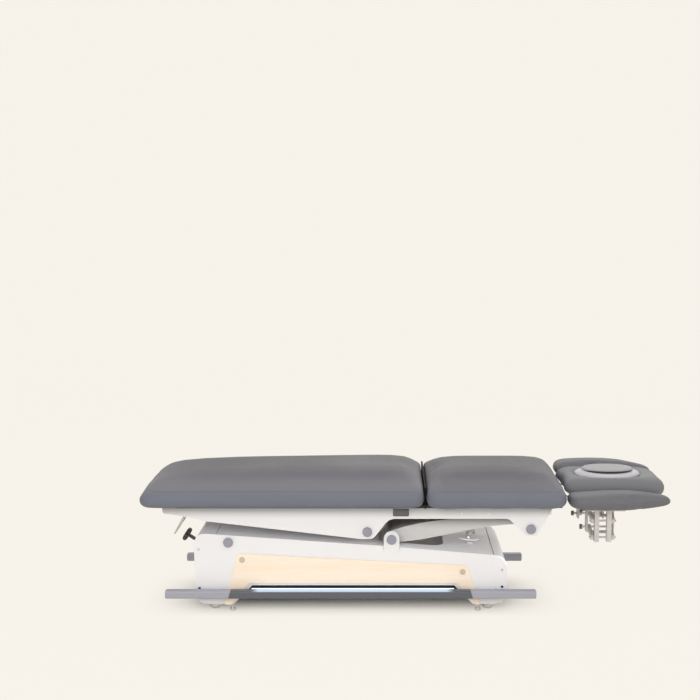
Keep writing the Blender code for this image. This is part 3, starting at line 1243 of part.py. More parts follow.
shape(head_frame, "UNION", arm_pins)
knobs = bmesh.new()
for _, side in SIDES:
    for z in (ARM_UPPER_Z, ARM_LOWER_Z):
        knob = circle(side * ARM_MOUNT_Y, z, KNOB_RADIUS, SMALL_SIDES)
        prism(knobs, knob, "X", mount_low - 2 * KNOB_LENGTH, mount_low - KNOB_LENGTH)
shape(head_frame, "UNION", knobs)

# Head pad with the oval breathing hole, and the board below it
HEAD_PAD_END = HEAD_END
HEAD_LOW_CORNER = 0.030
HEAD_HIGH_CORNER = 0.075
HEAD_BOARD_SETBACK = 0.015
HEAD_BOARD_BACK = 0.028
HEAD_PROFILE = (
    (0.016, 0.00, 0.71), (0.005, 0.12, 0.42), (0.000, 0.38, 0), (0.002, 0.55, 0),
    (0.010, 0.73, 0), (0.026, 0.87, 0), (0.044, 0.945, 0),
)
HOLE_PROFILE = (
    (0.026, 0.90), (0.016, 0.83), (0.008, 0.785), (0.002, 0.76), (0.000, 0.71), (0.000, 0.00),
)
RIM_SEAT = 0.8085
head_half = HEAD_PAD_WIDTH / 2
head_pad_x = HEAD_GAP_X + board_end
hole_half_x = FACE_HOLE_LENGTH / 2
hole_half_y = FACE_HOLE_WIDTH / 2
head_plan = pad_ring(head_pad_x, HEAD_PAD_END, head_half, HEAD_LOW_CORNER, HEAD_HIGH_CORNER)
hole_turns = [
    math.atan2(p[1] / hole_half_y, (p[0] - FACE_HOLE_X) / hole_half_x) for p in head_plan
]


def oval(grow):
    """Plan of the face hole, made larger all round by grow."""
    return [(FACE_HOLE_X + (hole_half_x + grow) * math.cos(t), (hole_half_y + grow) * math.sin(t))
            for t in hole_turns]


rings = []
for inset, share, undercut in HEAD_PROFILE:
    plan = pad_ring(
        head_pad_x + undercut * HEAD_UNDERCUT, HEAD_PAD_END, head_half,
        HEAD_LOW_CORNER, HEAD_HIGH_CORNER, inset,
    )
    rings.append(lift(plan, pad_bottom + share * HEAD_PAD_HEIGHT))
for grow, share in HOLE_PROFILE:
    rings.append(lift(oval(grow), pad_bottom + share * HEAD_PAD_HEIGHT))
pad = bmesh.new()
loft(pad, rings, closed=True)
finish("head_cushion", pad, UPHOLSTERY, head_axis, 60)
board_y = head_half - HEAD_BOARD_SETBACK
head_outline = rounded([
    (head_board_x, -board_y, 0.02),
    (HEAD_PAD_END - HEAD_BOARD_BACK, -board_y, 0.06),
    (HEAD_PAD_END - HEAD_BOARD_BACK, board_y, 0.06),
    (head_board_x, board_y, 0.02),
])
head_board = finish(
    "head_board", solid(head_outline, "Z", BOARD_BOTTOM, BOARD_TOP), BOARD_WOOD, head_axis)
shape(head_board, "DIFFERENCE", solid(oval(0), "Z", BOARD_BOTTOM - CUT_PAST, BOARD_TOP + CUT_PAST))

# Face plug: a stem in the hole, a rim that rests on the pad and a raised lid
PLUG_PLAY = 0.0012
PLUG_FLOOR = 0.003
RIM_HEIGHT = 0.018
LID_SETBACK = 0.015
LID_HEIGHT = 0.016
rim_bottom = pad_bottom + RIM_SEAT * HEAD_PAD_HEIGHT + SEAT_GAP
rim_top = rim_bottom + RIM_HEIGHT
plug_rings = [
    lift(oval(-PLUG_PLAY - 0.006), pad_bottom + PLUG_FLOOR),
    lift(oval(-PLUG_PLAY), pad_bottom + PLUG_FLOOR + 0.005),
    lift(oval(-PLUG_PLAY), rim_bottom),
    lift(oval(PLUG_RIM), rim_bottom),
    lift(oval(PLUG_RIM + 0.0015), rim_bottom + 0.006),
    lift(oval(PLUG_RIM - 0.001), rim_top - 0.006),
    lift(oval(PLUG_RIM - 0.006), rim_top - 0.0015),
    lift(oval(0), rim_top),
    lift(oval(-LID_SETBACK), rim_top + 0.0005),
    lift(oval(-LID_SETBACK - 0.001), rim_top + LID_HEIGHT - 0.005),
    lift(oval(-LID_SETBACK - 0.006), rim_top + LID_HEIGHT - 0.0015),
    lift(oval(-LID_SETBACK - 0.030), rim_top + LID_HEIGHT),
]
plug_axis = joint_axis("face_plug_axis", (FACE_HOLE_X, 0, pad_bottom), head_axis)
plug = bmesh.new()
loft(plug, plug_rings)
finish("face_plug", plug, PLUG_FABRIC, plug_axis, 60)

# Drop armrests: pad on a bracket, carried by two equal links on each side
WING_PLAY = 0.008
WING_STEP = 0.045
TIP_FALL = 0.36
ROOT_FALL = 0.10
WING_TIP_Y = 0.252
WING_BEND_FROM_GAP = 0.224
WING_BEND_X = HEAD_GAP_X + WING_BEND_FROM_GAP
BRACKET_X = (ARM_LINKAGE_X - 0.072, ARM_LINKAGE_X + 0.074)
BRACKET_Y = (0.205, 0.300)
BRACKET_PLATE = 0.0042
HANGER_HALF = 0.016
LINK_HALF = 0.010
LINK_BAR = 0.012
HANGER_THICKNESS = 0.018
LINK_PLAY = 0.0015
WING_PROFILE = (
    (0.32, 0.00), (0.12, 0.12), (0.02, 0.30), (0.00, 0.44), (0.03, 0.62),
    (0.12, 0.81), (0.28, 0.93), (0.50, 0.985), (0.75, 1.00),
)
wing_x = HEAD_GAP_X + WING_PLAY
wing_in = head_half + ARMREST_SLOT
wing_out = TABLE_WIDTH / 2
wing_plan = rounded([
    (wing_x, wing_in, 0.018),
    (HEAD_END, wing_in, 0.022),
    (HEAD_END, WING_TIP_Y, 0.030),
    (WING_BEND_X, wing_out, 0.25),
    (wing_x, wing_out, 0.075),
])
spine_a, spine_b = Vector((wing_x + 0.075, 0.272)), Vector((HEAD_END - 0.075, 0.238))


def spread(outline, longest):
    """The same outline with long edges divided into equal steps."""
    points = []
    for i, start in enumerate(outline):
        start, stop = Vector(start), Vector(outline[(i + 1) % len(outline)])
        steps = math.ceil((stop - start).length / longest)
        points += [tuple(start.lerp(stop, k / steps)) for k in range(steps)]
    return points


def wing_crown(x):
    """Height of the armrest's top along its length, as a share, highest over the linkage."""
    away = x - ARM_LINKAGE_X
    fall, reach = (TIP_FALL, HEAD_END - ARM_LINKAGE_X) if away > 0 else (ROOT_FALL, ARM_LINKAGE_X - wing_x)
    return 1 - fall * (away / reach) ** 2


def wing_ring(side, shrink, bottom, level):
    """Armrest plan drawn towards its spine by shrink, at a share, level, of the height there."""
    ring = []
    for x, y in spread(wing_plan, WING_STEP):
        point = Vector((x, y))
        along = spine_b - spine_a
        share = min(1, max(0, (point - spine_a).dot(along) / along.length_squared))
        point = point.lerp(spine_a + along * share, shrink)
        z = bottom + level * ARMREST_HEIGHT * wing_crown(point.x)
        ring.append((point.x, side * point.y, z))
    return ring if side > 0 else ring[::-1]


link_bars = ((mount_low + MOUNT_THICKNESS + LINK_PLAY, mount_low + MOUNT_THICKNESS + LINK_PLAY + LINK_BAR),
             (mount_high - MOUNT_THICKNESS - LINK_PLAY - LINK_BAR, mount_high - MOUNT_THICKNESS - LINK_PLAY))
hangers = ((link_bars[0][1] + LINK_PLAY, link_bars[0][1] + LINK_PLAY + HANGER_THICKNESS),
           (link_bars[1][0] - LINK_PLAY - HANGER_THICKNESS, link_bars[1][0] - LINK_PLAY))
for side_name, side in SIDES:
    link_run = ARM_LINK_LENGTH * math.cos(ARM_LINK_REST[side_name])
    link_drop = ARM_LINK_LENGTH * math.sin(ARM_LINK_REST[side_name])
    hang_y = ARM_MOUNT_Y + link_run
    near_drop = ARM_LINK_LENGTH * math.sin(ARM_LINK_REST["near"])
    pad_low = ARMREST_BOTTOM + link_drop - near_drop
    link_axes = {}
    for level, z in (("upper", ARM_UPPER_Z), ("lower", ARM_LOWER_Z)):
        centre_x = ARM_LINKAGE_X
        root = (centre_x, side * ARM_MOUNT_Y, z)
        link_axes[level] = joint_axis("armrest_link_axis_" + level + "_" + side_name, root, head_axis)
        along = Vector((side * link_run, link_drop)).normalized()
        across = Vector((-along.y, along.x))
        root_2d, tip_2d = Vector((side * ARM_MOUNT_Y, z)), Vector((side * hang_y, z + link_drop))
        outline = []
        for centre, way in ((tip_2d, 1), (root_2d, -1)):
            for k in range(9):
                turn = math.pi * (k / 8 - 0.5)
                outline.append(centre + LINK_HALF * way * (along * math.cos(turn) + across * math.sin(turn)))
        link = finish(
            "armrest_link_" + level + "_" + side_name,
            solid(outline, "X", *link_bars[0]), GREY_STEEL, link_axes[level],
        )
        shape(link, "UNION", solid(outline, "X", *link_bars[1]))
        waist = root_2d.lerp(tip_2d, 0.5)
        spacer = [waist + along * u + across * v
                  for u, v in ((-0.006, -0.004), (0.006, -0.004), (0.006, 0.004), (-0.006, 0.004))]
        spacer_bm = solid(spacer, "X", link_bars[0][0] + 0.001, link_bars[1][1] - 0.001)
        shape(link, "UNION", spacer_bm)
        holes = bmesh.new()
        for centre in (root_2d, tip_2d):
            hole = circle(centre.x, centre.y, bore_radius(ARM_PIN_RADIUS, SMALL_SIDES), SMALL_SIDES)
            prism(holes, hole, "X", mount_low, mount_high)
        shape(link, "DIFFERENCE", holes)
    hang = (ARM_LINKAGE_X, side * hang_y, ARM_UPPER_Z + link_drop)
    rest_axis = joint_axis("armrest_axis_" + side_name, hang, link_axes["upper"])
    bracket_top = pad_low - SEAT_GAP
    plate = bmesh.new()
    near_y, far_y = sorted((side * BRACKET_Y[0], side * BRACKET_Y[1]))
    block(plate, *BRACKET_X, near_y, far_y, bracket_top - BRACKET_PLATE, bracket_top)
    bracket = finish("armrest_bracket_" + side_name, plate, GREY_STEEL, rest_axis)
    hanging = bmesh.new()
    foot = ARM_LOWER_Z + link_drop - HANGER_HALF
    near_y, far_y = side * hang_y - HANGER_HALF, side * hang_y + HANGER_HALF
    for low, high in hangers:
        block(hanging, low, high, near_y, far_y, foot, bracket_top - BRACKET_PLATE / 2)
    shape(bracket, "UNION", hanging)
    pins = bmesh.new()
    for z in (ARM_UPPER_Z, ARM_LOWER_Z):
        pin = circle(side * hang_y, z + link_drop, ARM_PIN_RADIUS, SMALL_SIDES)
        prism(pins, pin, "X", mount_low + WELD_BITE, mount_high - WELD_BITE)
    shape(bracket, "UNION", pins)
    wing = bmesh.new()
    rings = [wing_ring(side, shrink, pad_low, share) for shrink, share in WING_PROFILE]
    loft(wing, rings, curved_top=True)
    finish("armrest_pad_" + side_name, wing, UPHOLSTERY, rest_axis, 60)
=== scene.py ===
import math

import bpy
import numpy as np
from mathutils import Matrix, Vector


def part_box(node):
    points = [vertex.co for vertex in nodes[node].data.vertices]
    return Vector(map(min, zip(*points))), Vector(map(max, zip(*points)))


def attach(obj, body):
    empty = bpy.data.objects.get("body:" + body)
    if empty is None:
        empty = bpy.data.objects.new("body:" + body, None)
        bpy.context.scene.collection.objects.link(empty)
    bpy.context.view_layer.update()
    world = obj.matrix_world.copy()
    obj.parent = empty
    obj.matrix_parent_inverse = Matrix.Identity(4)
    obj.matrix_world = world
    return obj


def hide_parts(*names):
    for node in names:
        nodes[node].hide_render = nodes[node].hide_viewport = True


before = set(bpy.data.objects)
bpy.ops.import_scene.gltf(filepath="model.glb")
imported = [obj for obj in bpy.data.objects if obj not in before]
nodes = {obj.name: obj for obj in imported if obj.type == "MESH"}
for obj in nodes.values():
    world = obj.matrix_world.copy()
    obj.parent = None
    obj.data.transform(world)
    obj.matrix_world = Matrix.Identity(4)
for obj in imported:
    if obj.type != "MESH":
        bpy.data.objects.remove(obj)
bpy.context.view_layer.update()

# The room: a cream studio floor that bends up into a wall, five soft lamps, and a camera square to the
# table's long side that looks down a little. The floor is its written cream to the camera, and under
# the table it takes the shadow.
ROOM_CREAM = (0.930, 0.896, 0.823)
SKY_WHITE = (1.0, 0.985, 0.96)
SKY_STRENGTH = 0.55
SHADOW_MIDDLE_X = -0.225
SHADOW_ENDS = (0.50, 0.86)
SHADOW_SIDES = (0.06, 0.37)
FLOOR_FRONT, FLOOR_BACK, FLOOR_HALF = -9.0, 5.0, 30.0
WALL_BEND, WALL_FOOT, WALL_TOP = 1.5, 1.6, 7.0
scene = bpy.context.scene
scene.view_settings.view_transform = "Standard"


class Wire:
    """A socket of a node tree. Python's operators on it add Math nodes and give the new socket."""

    def __init__(self, tree, socket=None):
        self.tree = tree
        self.socket = socket

    def node(self, kind, settings=None, out=0, **sockets):
        """Adds a node: its settings first, then its sockets, as values or as links from other wires.
        A socket is named by its label with _ for a blank, or by its number after an i."""
        made = self.tree.nodes.new(kind)
        for key, value in (settings or {}).items():
            setattr(made, key, value)
        for key, value in sockets.items():
            numbered = key[0] == "i" and key[1:].isdigit()
            socket = made.inputs[int(key[1:]) if numbered else key.replace("_", " ")]
            if isinstance(value, Wire):
                self.tree.links.new(value.socket, socket)
            else:
                socket.default_value = value
        return Wire(self.tree, made.outputs[out])

    def math(self, operation, *others):
        """A Math node on this value and the others."""
        values = {f"i{number}": value for number, value in enumerate((self, *others))}
        return self.node("ShaderNodeMath", {"operation": operation}, **values)

    def __add__(self, other):
        return self.math("ADD", other)

    def __sub__(self, other):
        return self.math("SUBTRACT", other)

    def __rsub__(self, other):
        return self.node("ShaderNodeMath", {"operation": "SUBTRACT"}, i0=other, i1=self)

    def __mul__(self, other):
        return self.math("MULTIPLY", other)

    def __pow__(self, other):
        return self.math("POWER", other)

    __radd__ = __add__
    __rmul__ = __mul__

    def step(self, low, high):
        """0 below low, 1 above high and a smooth rise between."""
        return self.node("ShaderNodeMapRange", {"interpolation_type": "SMOOTHSTEP"},
                         Value=self, From_Min=low, From_Max=high)

    def mix(self, first, second):
        """The first colour where this value is 0 and the second where it is 1."""
        first, second = (c if isinstance(c, Wire) else (*c, 1) for c in (first, second))
        return self.node("ShaderNodeMix", {"data_type": "RGBA"}, 2, i0=self, i6=first, i7=second)

    def tint(self, colour):
        """A colour made darker or lighter by this value."""
        return self.node("ShaderNodeVectorMath", {"operation": "SCALE"}, i0=colour, Scale=self)

    def place(self):
        """Object coordinates and their three parts, in metres."""
        where = self.node("ShaderNodeTexCoord", None, 3)
        parts = self.node("ShaderNodeSeparateXYZ", Vector=where).socket.node
        return where, [Wire(self.tree, side) for side in parts.outputs]

    def stretch(self, scale):
        """This coordinate scaled along its three axes."""
        return self.node("ShaderNodeMapping", Vector=self, Scale=scale)

    def noise(self, scale, detail=2.0, rough=0.5):
        """Smooth noise at this coordinate, with about scale waves to the metre."""
        return self.node("ShaderNodeTexNoise", Vector=self, Scale=scale, Detail=detail, Roughness=rough)

    def cells(self, scale, feature):
        """A pattern of cells at this coordinate, with about scale cells to the metre."""
        return self.node("ShaderNodeTexVoronoi", {"feature": feature}, Vector=self, Scale=scale)


def shown(name, grid, wrap_u=False, wrap_v=False, caps=False):
    """A mesh on a grid of points [u, v, xyz]: quads between neighbours, joined round where a way wraps,
    and with caps a fan from the mean of the first and of the last row."""
    grid = np.asarray(grid, float)
    rows, columns = grid.shape[:2]
    index = np.arange(rows * columns).reshape(rows, columns)
    u = np.arange(rows if wrap_u else rows - 1)
    v = np.arange(columns if wrap_v else columns - 1)
    a = index[np.ix_(u, v)]
    b = index[np.ix_((u + 1) % rows, v)]
    c = index[np.ix_((u + 1) % rows, (v + 1) % columns)]
    d = index[np.ix_(u, (v + 1) % columns)]
    points = grid.reshape(-1, 3)
    faces = np.stack([a, b, c, d], -1).reshape(-1, 4).tolist()
    if caps:
        first, last = len(points), len(points) + 1
        points = np.concatenate([points, [grid[0].mean(0), grid[-1].mean(0)]])
        after = (np.arange(columns) + 1) % columns
        faces += np.stack([np.full(columns, first), index[0], index[0][after]], -1).tolist()
        faces += np.stack([np.full(columns, last), index[-1][after], index[-1]], -1).tolist()
    mesh = bpy.data.meshes.new(name)
    mesh.from_pydata(points.tolist(), [], faces)
    mesh.shade_smooth()
    piece = bpy.data.objects.new(name, mesh)
    scene.collection.objects.link(piece)
    return piece


def room_finish():
    """Plain cream to the camera and in reflections, apart from a patch under the table; there, and to all
    other rays, a matt floor that takes the shadow."""
    made = bpy.data.materials.new("room_cream")
    made.use_nodes = True
    tree = made.node_tree
    shader = tree.nodes["Principled BSDF"]
    shader.inputs["Base Color"].default_value = (*ROOM_CREAM, 1)
    shader.inputs["Roughness"].default_value = 0.9
    shader.inputs["Specular IOR Level"].default_value = 0.1
    wire = Wire(tree)
    rays = wire.node("ShaderNodeLightPath").socket.node.outputs
    seen = Wire(tree, rays["Is Camera Ray"]) + Wire(tree, rays["Is Glossy Ray"])
    _, (x, y, _) = wire.place()
    past_ends = (x - SHADOW_MIDDLE_X).math("ABSOLUTE").step(*SHADOW_ENDS)
    past_sides = y.math("ABSOLUTE").step(*SHADOW_SIDES)
    bare = 0.98 - (1 - past_ends) * (1 - past_sides) * 0.96
    plain = wire.node("ShaderNodeEmission", Color=(*ROOM_CREAM, 1), Strength=1.0)
    shaded = Wire(tree, shader.outputs[0])
    surface = wire.node("ShaderNodeMixShader", i0=seen * bare, i1=shaded, i2=plain)
    tree.links.new(surface.socket, tree.nodes["Material Output"].inputs["Surface"])
    return made


def floor_line():
    """The floor's line in (y, z): level, a quarter turn of radius WALL_BEND, then upright."""
    turn = np.linspace(0, math.pi / 2, 16)
    level = np.stack([np.linspace(FLOOR_FRONT, FLOOR_BACK, 40), np.zeros(40)], -1)
    bend = np.stack([FLOOR_BACK + WALL_BEND * np.sin(turn), WALL_BEND * (1 - np.cos(turn))], -1)
    wall = np.stack([np.full(8, FLOOR_BACK + WALL_BEND), np.linspace(WALL_FOOT, WALL_TOP, 8)], -1)
    return np.concatenate([level, bend, wall])


line_y, line_z = floor_line().T
across = np.linspace(-FLOOR_HALF, FLOOR_HALF, 3)
backdrop = shown("studio_floor", np.stack(np.broadcast_arrays(across, line_y[:, None], line_z[:, None]), -1))
backdrop.data.flip_normals()
backdrop.data.materials.append(room_finish())


def studio_sky():
    """An even white light to the table, and the room's cream to the camera."""
    made = bpy.data.worlds.new("studio")
    made.use_nodes = True
    tree = made.node_tree
    sky = tree.nodes["Background"]
    sky.inputs["Color"].default_value = (*SKY_WHITE, 1)
    sky.inputs["Strength"].default_value = SKY_STRENGTH
    wire = Wire(tree)
    to_camera = wire.node("ShaderNodeLightPath")
    wall = wire.node("ShaderNodeBackground", Color=(*ROOM_CREAM, 1), Strength=1.0)
    surface = wire.node("ShaderNodeMixShader", i0=to_camera, i1=Wire(tree, sky.outputs[0]), i2=wall)
    tree.links.new(surface.socket, tree.nodes["World Output"].inputs["Surface"])
    return made


scene.world = studio_sky()


def soft_box(name, place, aim, width, height, watts):
    """A rectangular lamp at a place, turned to face its aim."""
    lamp = bpy.data.lights.new(name, "AREA")
    lamp.shape = "RECTANGLE"
    lamp.size = width
    lamp.size_y = height
    lamp.energy = watts
    hung = bpy.data.objects.new(name, lamp)
    hung.location = place
    x, y, z = np.subtract(aim, place)
    hung.rotation_euler = (math.atan2(math.hypot(x, y), -z), 0, math.atan2(y, x) - math.pi / 2)
    scene.collection.objects.link(hung)
    return hung


soft_box("overhead", (0, -0.3, 3.2), (0, 0, 0.4), 4.5, 3.0, 38)
soft_box("front", (-1.2, -4.5, 2.15), (0, 0, 0.25), 3.5, 1.6, 83)
soft_box("back", (1.0, 4.0, 2.4), (0, 0, 0.4), 3.5, 2.0, 24)
soft_box("head_side", (3.6, -1.6, 1.6), (0, 0, 0.25), 1.8, 1.4, 22)
under_fill = soft_box("under_fill", (0.6, -4.6, 0.95), (-0.2, 0, 0.26), 4.5, 0.9, 275)

PICTURE_SIDE = 700.0
FOCAL_LENGTH = 1424.0
PICTURE_AXIS = (388.0, 437.4)
SENSOR_WIDTH = 36.0
CAMERA_PLACE = (-0.0767, -5.647, 1.519)
CAMERA_PITCH = math.radians(8.8)
camera = bpy.data.objects.new("camera", bpy.data.cameras.new("camera"))
camera.data.sensor_width = SENSOR_WIDTH
camera.data.lens = FOCAL_LENGTH / PICTURE_SIDE * SENSOR_WIDTH
camera.data.shift_x = 0.5 - PICTURE_AXIS[0] / PICTURE_SIDE
camera.data.shift_y = PICTURE_AXIS[1] / PICTURE_SIDE - 0.5
camera.location = CAMERA_PLACE
camera.rotation_euler = (math.pi / 2 - CAMERA_PITCH, 0, 0)
scene.collection.objects.link(camera)
scene.camera = camera

# Side plates of the base, cut from 4 mm steel sheet and powder coated white, one on each long side.
# Small button-head screws hold them to the chassis near both ends.
POWDER_WHITE = (0.845, 0.832, 0.845)
ZINC_COOL, ZINC_WARM = (0.56, 0.56, 0.57), (0.66, 0.65, 0.62)
LACQUER_DEEP, LACQUER_PALE = (0.022, 0.022, 0.025), (0.034, 0.034, 0.037)


def finish_of(name, paint, **fixed):
    """A Principled material. paint(wire) gives the varying sockets, and Height with its depth for a bump;
    fixed are the sockets that are the same all over."""
    made = bpy.data.materials.new(name)
    made.use_nodes = True
    tree = made.node_tree
    shader = tree.nodes["Principled BSDF"]
    for key, value in fixed.items():
        shader.inputs[key.replace("_", " ")].default_value = value
    wire = Wire(tree)
    varying = paint(wire)
    height, depth = varying.pop("Height", (None, None))
    if height:
        varying["Normal"] = wire.node("ShaderNodeBump", Height=height, Distance=depth, Strength=1.0)
    for key, value in varying.items():
        tree.links.new(value.socket, shader.inputs[key])
    return made


def dress(material, *names):
    """Gives CAD nodes a finish."""
    for name in names:
        slots = nodes[name].data.materials
        slots.clear()
        slots.append(material)


def orange_peel(where):
    """The fine waviness of baked powder."""
    return where.noise(900, 1.5) * 0.7 + where.noise(260, 1.0) * 0.3


def powder_coat(wire):
    """White with a faint cloudiness, greyer near the floor."""
    where, (_, _, z) = wire.place()
    cloud = where.noise(9, 3) * 0.03 + 0.985
    # darker toward the floor
    near_floor_darkening = z.step(0.0, 0.12) * 0.05 + 0.95
    return {
        "Base Color": (cloud * near_floor_darkening).tint(POWDER_WHITE),
        "Roughness": where.noise(45, 2) * 0.10 + 0.36,
        "Height": (orange_peel(where), 0.00012),
    }


white_coat = finish_of("white_powder_coat", powder_coat, Specular_IOR_Level=0.45)
dress(white_coat, "side_plate_near", "side_plate_far")


def vertices_of(mesh):
    """A mesh's points as rows of x, y, z."""
    points = np.empty(len(mesh.vertices) * 3)
    mesh.vertices.foreach_get("co", points)
    return points.reshape(-1, 3)


def triangles_of(mesh):
    """The three point numbers of each triangle of a mesh."""
    mesh.calc_loop_triangles()
    corners = np.empty(len(mesh.loop_triangles) * 3, int)
    mesh.loop_triangles.foreach_get("vertices", corners)
    return corners.reshape(-1, 3)


def face_out(piece):
    """Turns the faces of a closed mesh outward, by the sign of its volume."""
    a, b, c = vertices_of(piece.data)[triangles_of(piece.data)].transpose(1, 0, 2)
    if np.einsum("ij,ij->", a, np.cross(b, c)) < 0:
        piece.data.flip_normals()
    return piece


def turned(name, profile, centre, axis, count=40):
    """A turned piece: the profile's (radius, height) rows are carried round the axis through centre,
    point = centre + axis height + radius (cos t, sin t), and both ends are closed."""
    radius, height = np.asarray(profile, float).T[:, :, None, None]
    turn = np.linspace(0, 2 * math.pi, count, endpoint=False)[:, None]
    along = np.asarray(axis, float)
    side = np.cross(along, (0.0, 0.0, 1.0))
    side /= np.linalg.norm(side)
    ring = np.cos(turn) * side + np.sin(turn) * np.cross(along, side)
    return face_out(shown(name, np.asarray(centre) + height * along + radius * ring, wrap_v=True, caps=True))


def dress_new(piece, material, body):
    """Gives a new piece its finish and its body."""
    piece.data.materials.append(material)
    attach(piece, body)
    return piece


def zinc(wire):
    """Bright zinc: fine turning marks and a slight yellow cloud."""
    where, _ = wire.place()
    return {
        "Base Color": where.noise(60, 2).mix(ZINC_COOL, ZINC_WARM),
        "Roughness": where.stretch((1, 14, 1)).noise(500, 2) * 0.16 + 0.26,
    }


def dark_lacquer(wire):
    """Near-black lacquer with a fine texture."""
    where, _ = wire.place()
    return {
        "Base Color": where.noise(30, 3).mix(LACQUER_DEEP, LACQUER_PALE),
        "Roughness": where.noise(80, 2) * 0.14 + 0.38,
        "Height": (where.noise(1200, 1), 0.00008),
    }


bright_zinc = finish_of("bright_zinc", zinc, Metallic=0.95)
black_lacquer = finish_of("black_lacquer", dark_lacquer)
SIDES = (("near", -1), ("far", 1))
PLATE_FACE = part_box("side_plate_far")[1][1]
SCREWS = ((-0.809, 0.250, bright_zinc), (-0.808, 0.095, black_lacquer),
          (0.365, 0.168, bright_zinc), (0.366, 0.101, black_lacquer))
SCREW_DOME = ((0.0052, -0.0006), (0.0052, 0.0004), (0.0046, 0.0011), (0.0030, 0.0015), (0.0026, 0.0015),
              (0.0024, 0.0004), (0.0008, 0.0002))
for side_name, side in SIDES:
    for number, (x, z, metal) in enumerate(SCREWS):
        place = (x, side * PLATE_FACE, z)
        screw = turned(f"plate_screw_{side_name}_{number}", SCREW_DOME, place, (0, side, 0), count=28)
        dress_new(screw, metal, "base")

# Covers between the plates: pale grey moulded sheets over the lift, at the foot end and at the head
# end, with a round service lid lying on the slope. They clip in with a narrow shadow line at each seam;
# a bent wire clip and a finger tab sit on the slope. A low lamp lights them alone.
COVER_GREY = (0.895, 0.881, 0.897)
COVERS = ("cover_centre", "cover_foot", "cover_head", "service_lid")
COVER_FALL = 0.090
CLIP_X, CLIP_Y, CLIP_HALF, CLIP_RISE = 0.262, 0.066, 0.0150, 0.020
CLIP_SUNK = 0.002
CLIP_STRAIGHT = 0.55
CLIP_WIRES = ((1.0, 1.0, 0.0026), (0.55, 0.62, 0.0020))
TAB = (0.2370, 0.2610, -0.1230, -0.1140)
TAB_HEIGHT, TAB_CORNER, TAB_EDGE = 0.0045, 0.003, 0.0012


def cover_plastic(wire):
    """Pale grey with a leathery moulded grain and rubbed patches."""
    where, _ = wire.place()
    return {
        "Base Color": (where.noise(7, 3) * 0.05 + 0.975).tint(COVER_GREY),
        "Roughness": where.noise(20, 3) * 0.14 + 0.42,
        "Height": (where.cells(1400, "SMOOTH_F1"), 0.00010),
    }


cover_grey = finish_of("cover_grey", cover_plastic)
dress(cover_grey, *COVERS)
lit_low = bpy.data.collections.new("lit_low")
for name in COVERS:
    lit_low.objects.link(nodes[name])
under_fill.light_linking.receiver_collection = lit_low


def tube(name, path, radius, closed=True, count=8):
    """A round cord along a flat path: p = path + r(s) (n cos t + b sin t), with n in the path's plane and
    b square to it."""
    path = np.asarray(path, float)
    ahead = np.roll(path, -1, 0) - np.roll(path, 1, 0)
    if not closed:
        ahead[0], ahead[-1] = path[1] - path[0], path[-1] - path[-2]
    ahead /= np.linalg.norm(ahead, axis=1, keepdims=True)
    flat_way = np.eye(3)[np.argmin(np.ptp(path, axis=0))]
    level = np.cross(ahead, flat_way)
    level /= np.linalg.norm(level, axis=1, keepdims=True)
    square = np.cross(level, ahead)
    turn = np.linspace(0, 2 * math.pi, count, endpoint=False)[:, None]
    ring = np.cos(turn) * level[:, None] + np.sin(turn) * square[:, None]
    radius = np.broadcast_to(radius, len(path))[:, None, None]
    return face_out(shown(name, path[:, None] + radius * ring, closed, True, caps=not closed))


def moulded(name, outline, way, low, high, edge):
    """A flat piece: its outline in the plane square to an axis, carried from low to high along it, with
    the rim of both faces drawn in by edge towards the middle of the outline."""
    middle = outline.mean(0)
    reach = np.abs(outline - middle).max(0)
    inner = middle + (outline - middle) * (1 - edge / reach)
    levels = ((inner, low), (outline, low + edge), (outline, high - edge), (inner, high))
    rows = [np.insert(plan, "XYZ".index(way), along, axis=1) for plan, along in levels]
    return face_out(shown(name, rows, wrap_v=True, caps=True))


def round_box(u0, u1, v0, v1, radii, count=7):
    """Outline of a rectangle from its lower corner round, each corner an arc of its own radius,
    p = centre + r (cos t, sin t)."""
    radius = np.broadcast_to(radii, 4).reshape(4, 1, 1)
    corners = np.array([(u0, v0), (u1, v0), (u1, v1), (u0, v1)])[:, None]
    inward = np.array([(1, 1), (-1, 1), (-1, -1), (1, -1)])[:, None]
    turn = math.pi / 2 * (2 + np.arange(4)[:, None] + np.linspace(0, 1, count))
    arcs = np.stack([np.cos(turn), np.sin(turn)], -1)
    return (corners + radius * (inward + arcs)).reshape(-1, 2)


lid_low, lid_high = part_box("service_lid")


def cover_top(x):
    """Height of the cover's slope above a place x, from the lid's upper edge: z = z0 - fall (x - x0)."""
    return lid_high[2] - COVER_FALL * (x - lid_low[0])


clip_metal = finish_of("clip_metal", zinc, Metallic=0.9)
bow = np.linspace(math.pi, 0, 13)
bow_x = np.concatenate([[-1], np.cos(bow), [1]])
bow_z = np.concatenate([[0], CLIP_STRAIGHT + (1 - CLIP_STRAIGHT) * np.sin(bow), [0]])
clip_foot = cover_top(CLIP_X) - CLIP_SUNK
for number, (half_share, rise_share, radius) in enumerate(CLIP_WIRES):
    path = np.stack([
        CLIP_X + CLIP_HALF * half_share * bow_x,
        np.full(len(bow_x), CLIP_Y),
        clip_foot + CLIP_RISE * rise_share * bow_z,
    ], -1)
    dress_new(tube(f"cover_clip_{number}", path, radius, closed=False), clip_metal, "base")
tab_top = cover_top(TAB[0]) + TAB_HEIGHT
tab = moulded("cover_tab", round_box(*TAB, TAB_CORNER), "Z", tab_top - 2 * TAB_HEIGHT, tab_top, TAB_EDGE)
dress_new(tab, white_coat, "base")

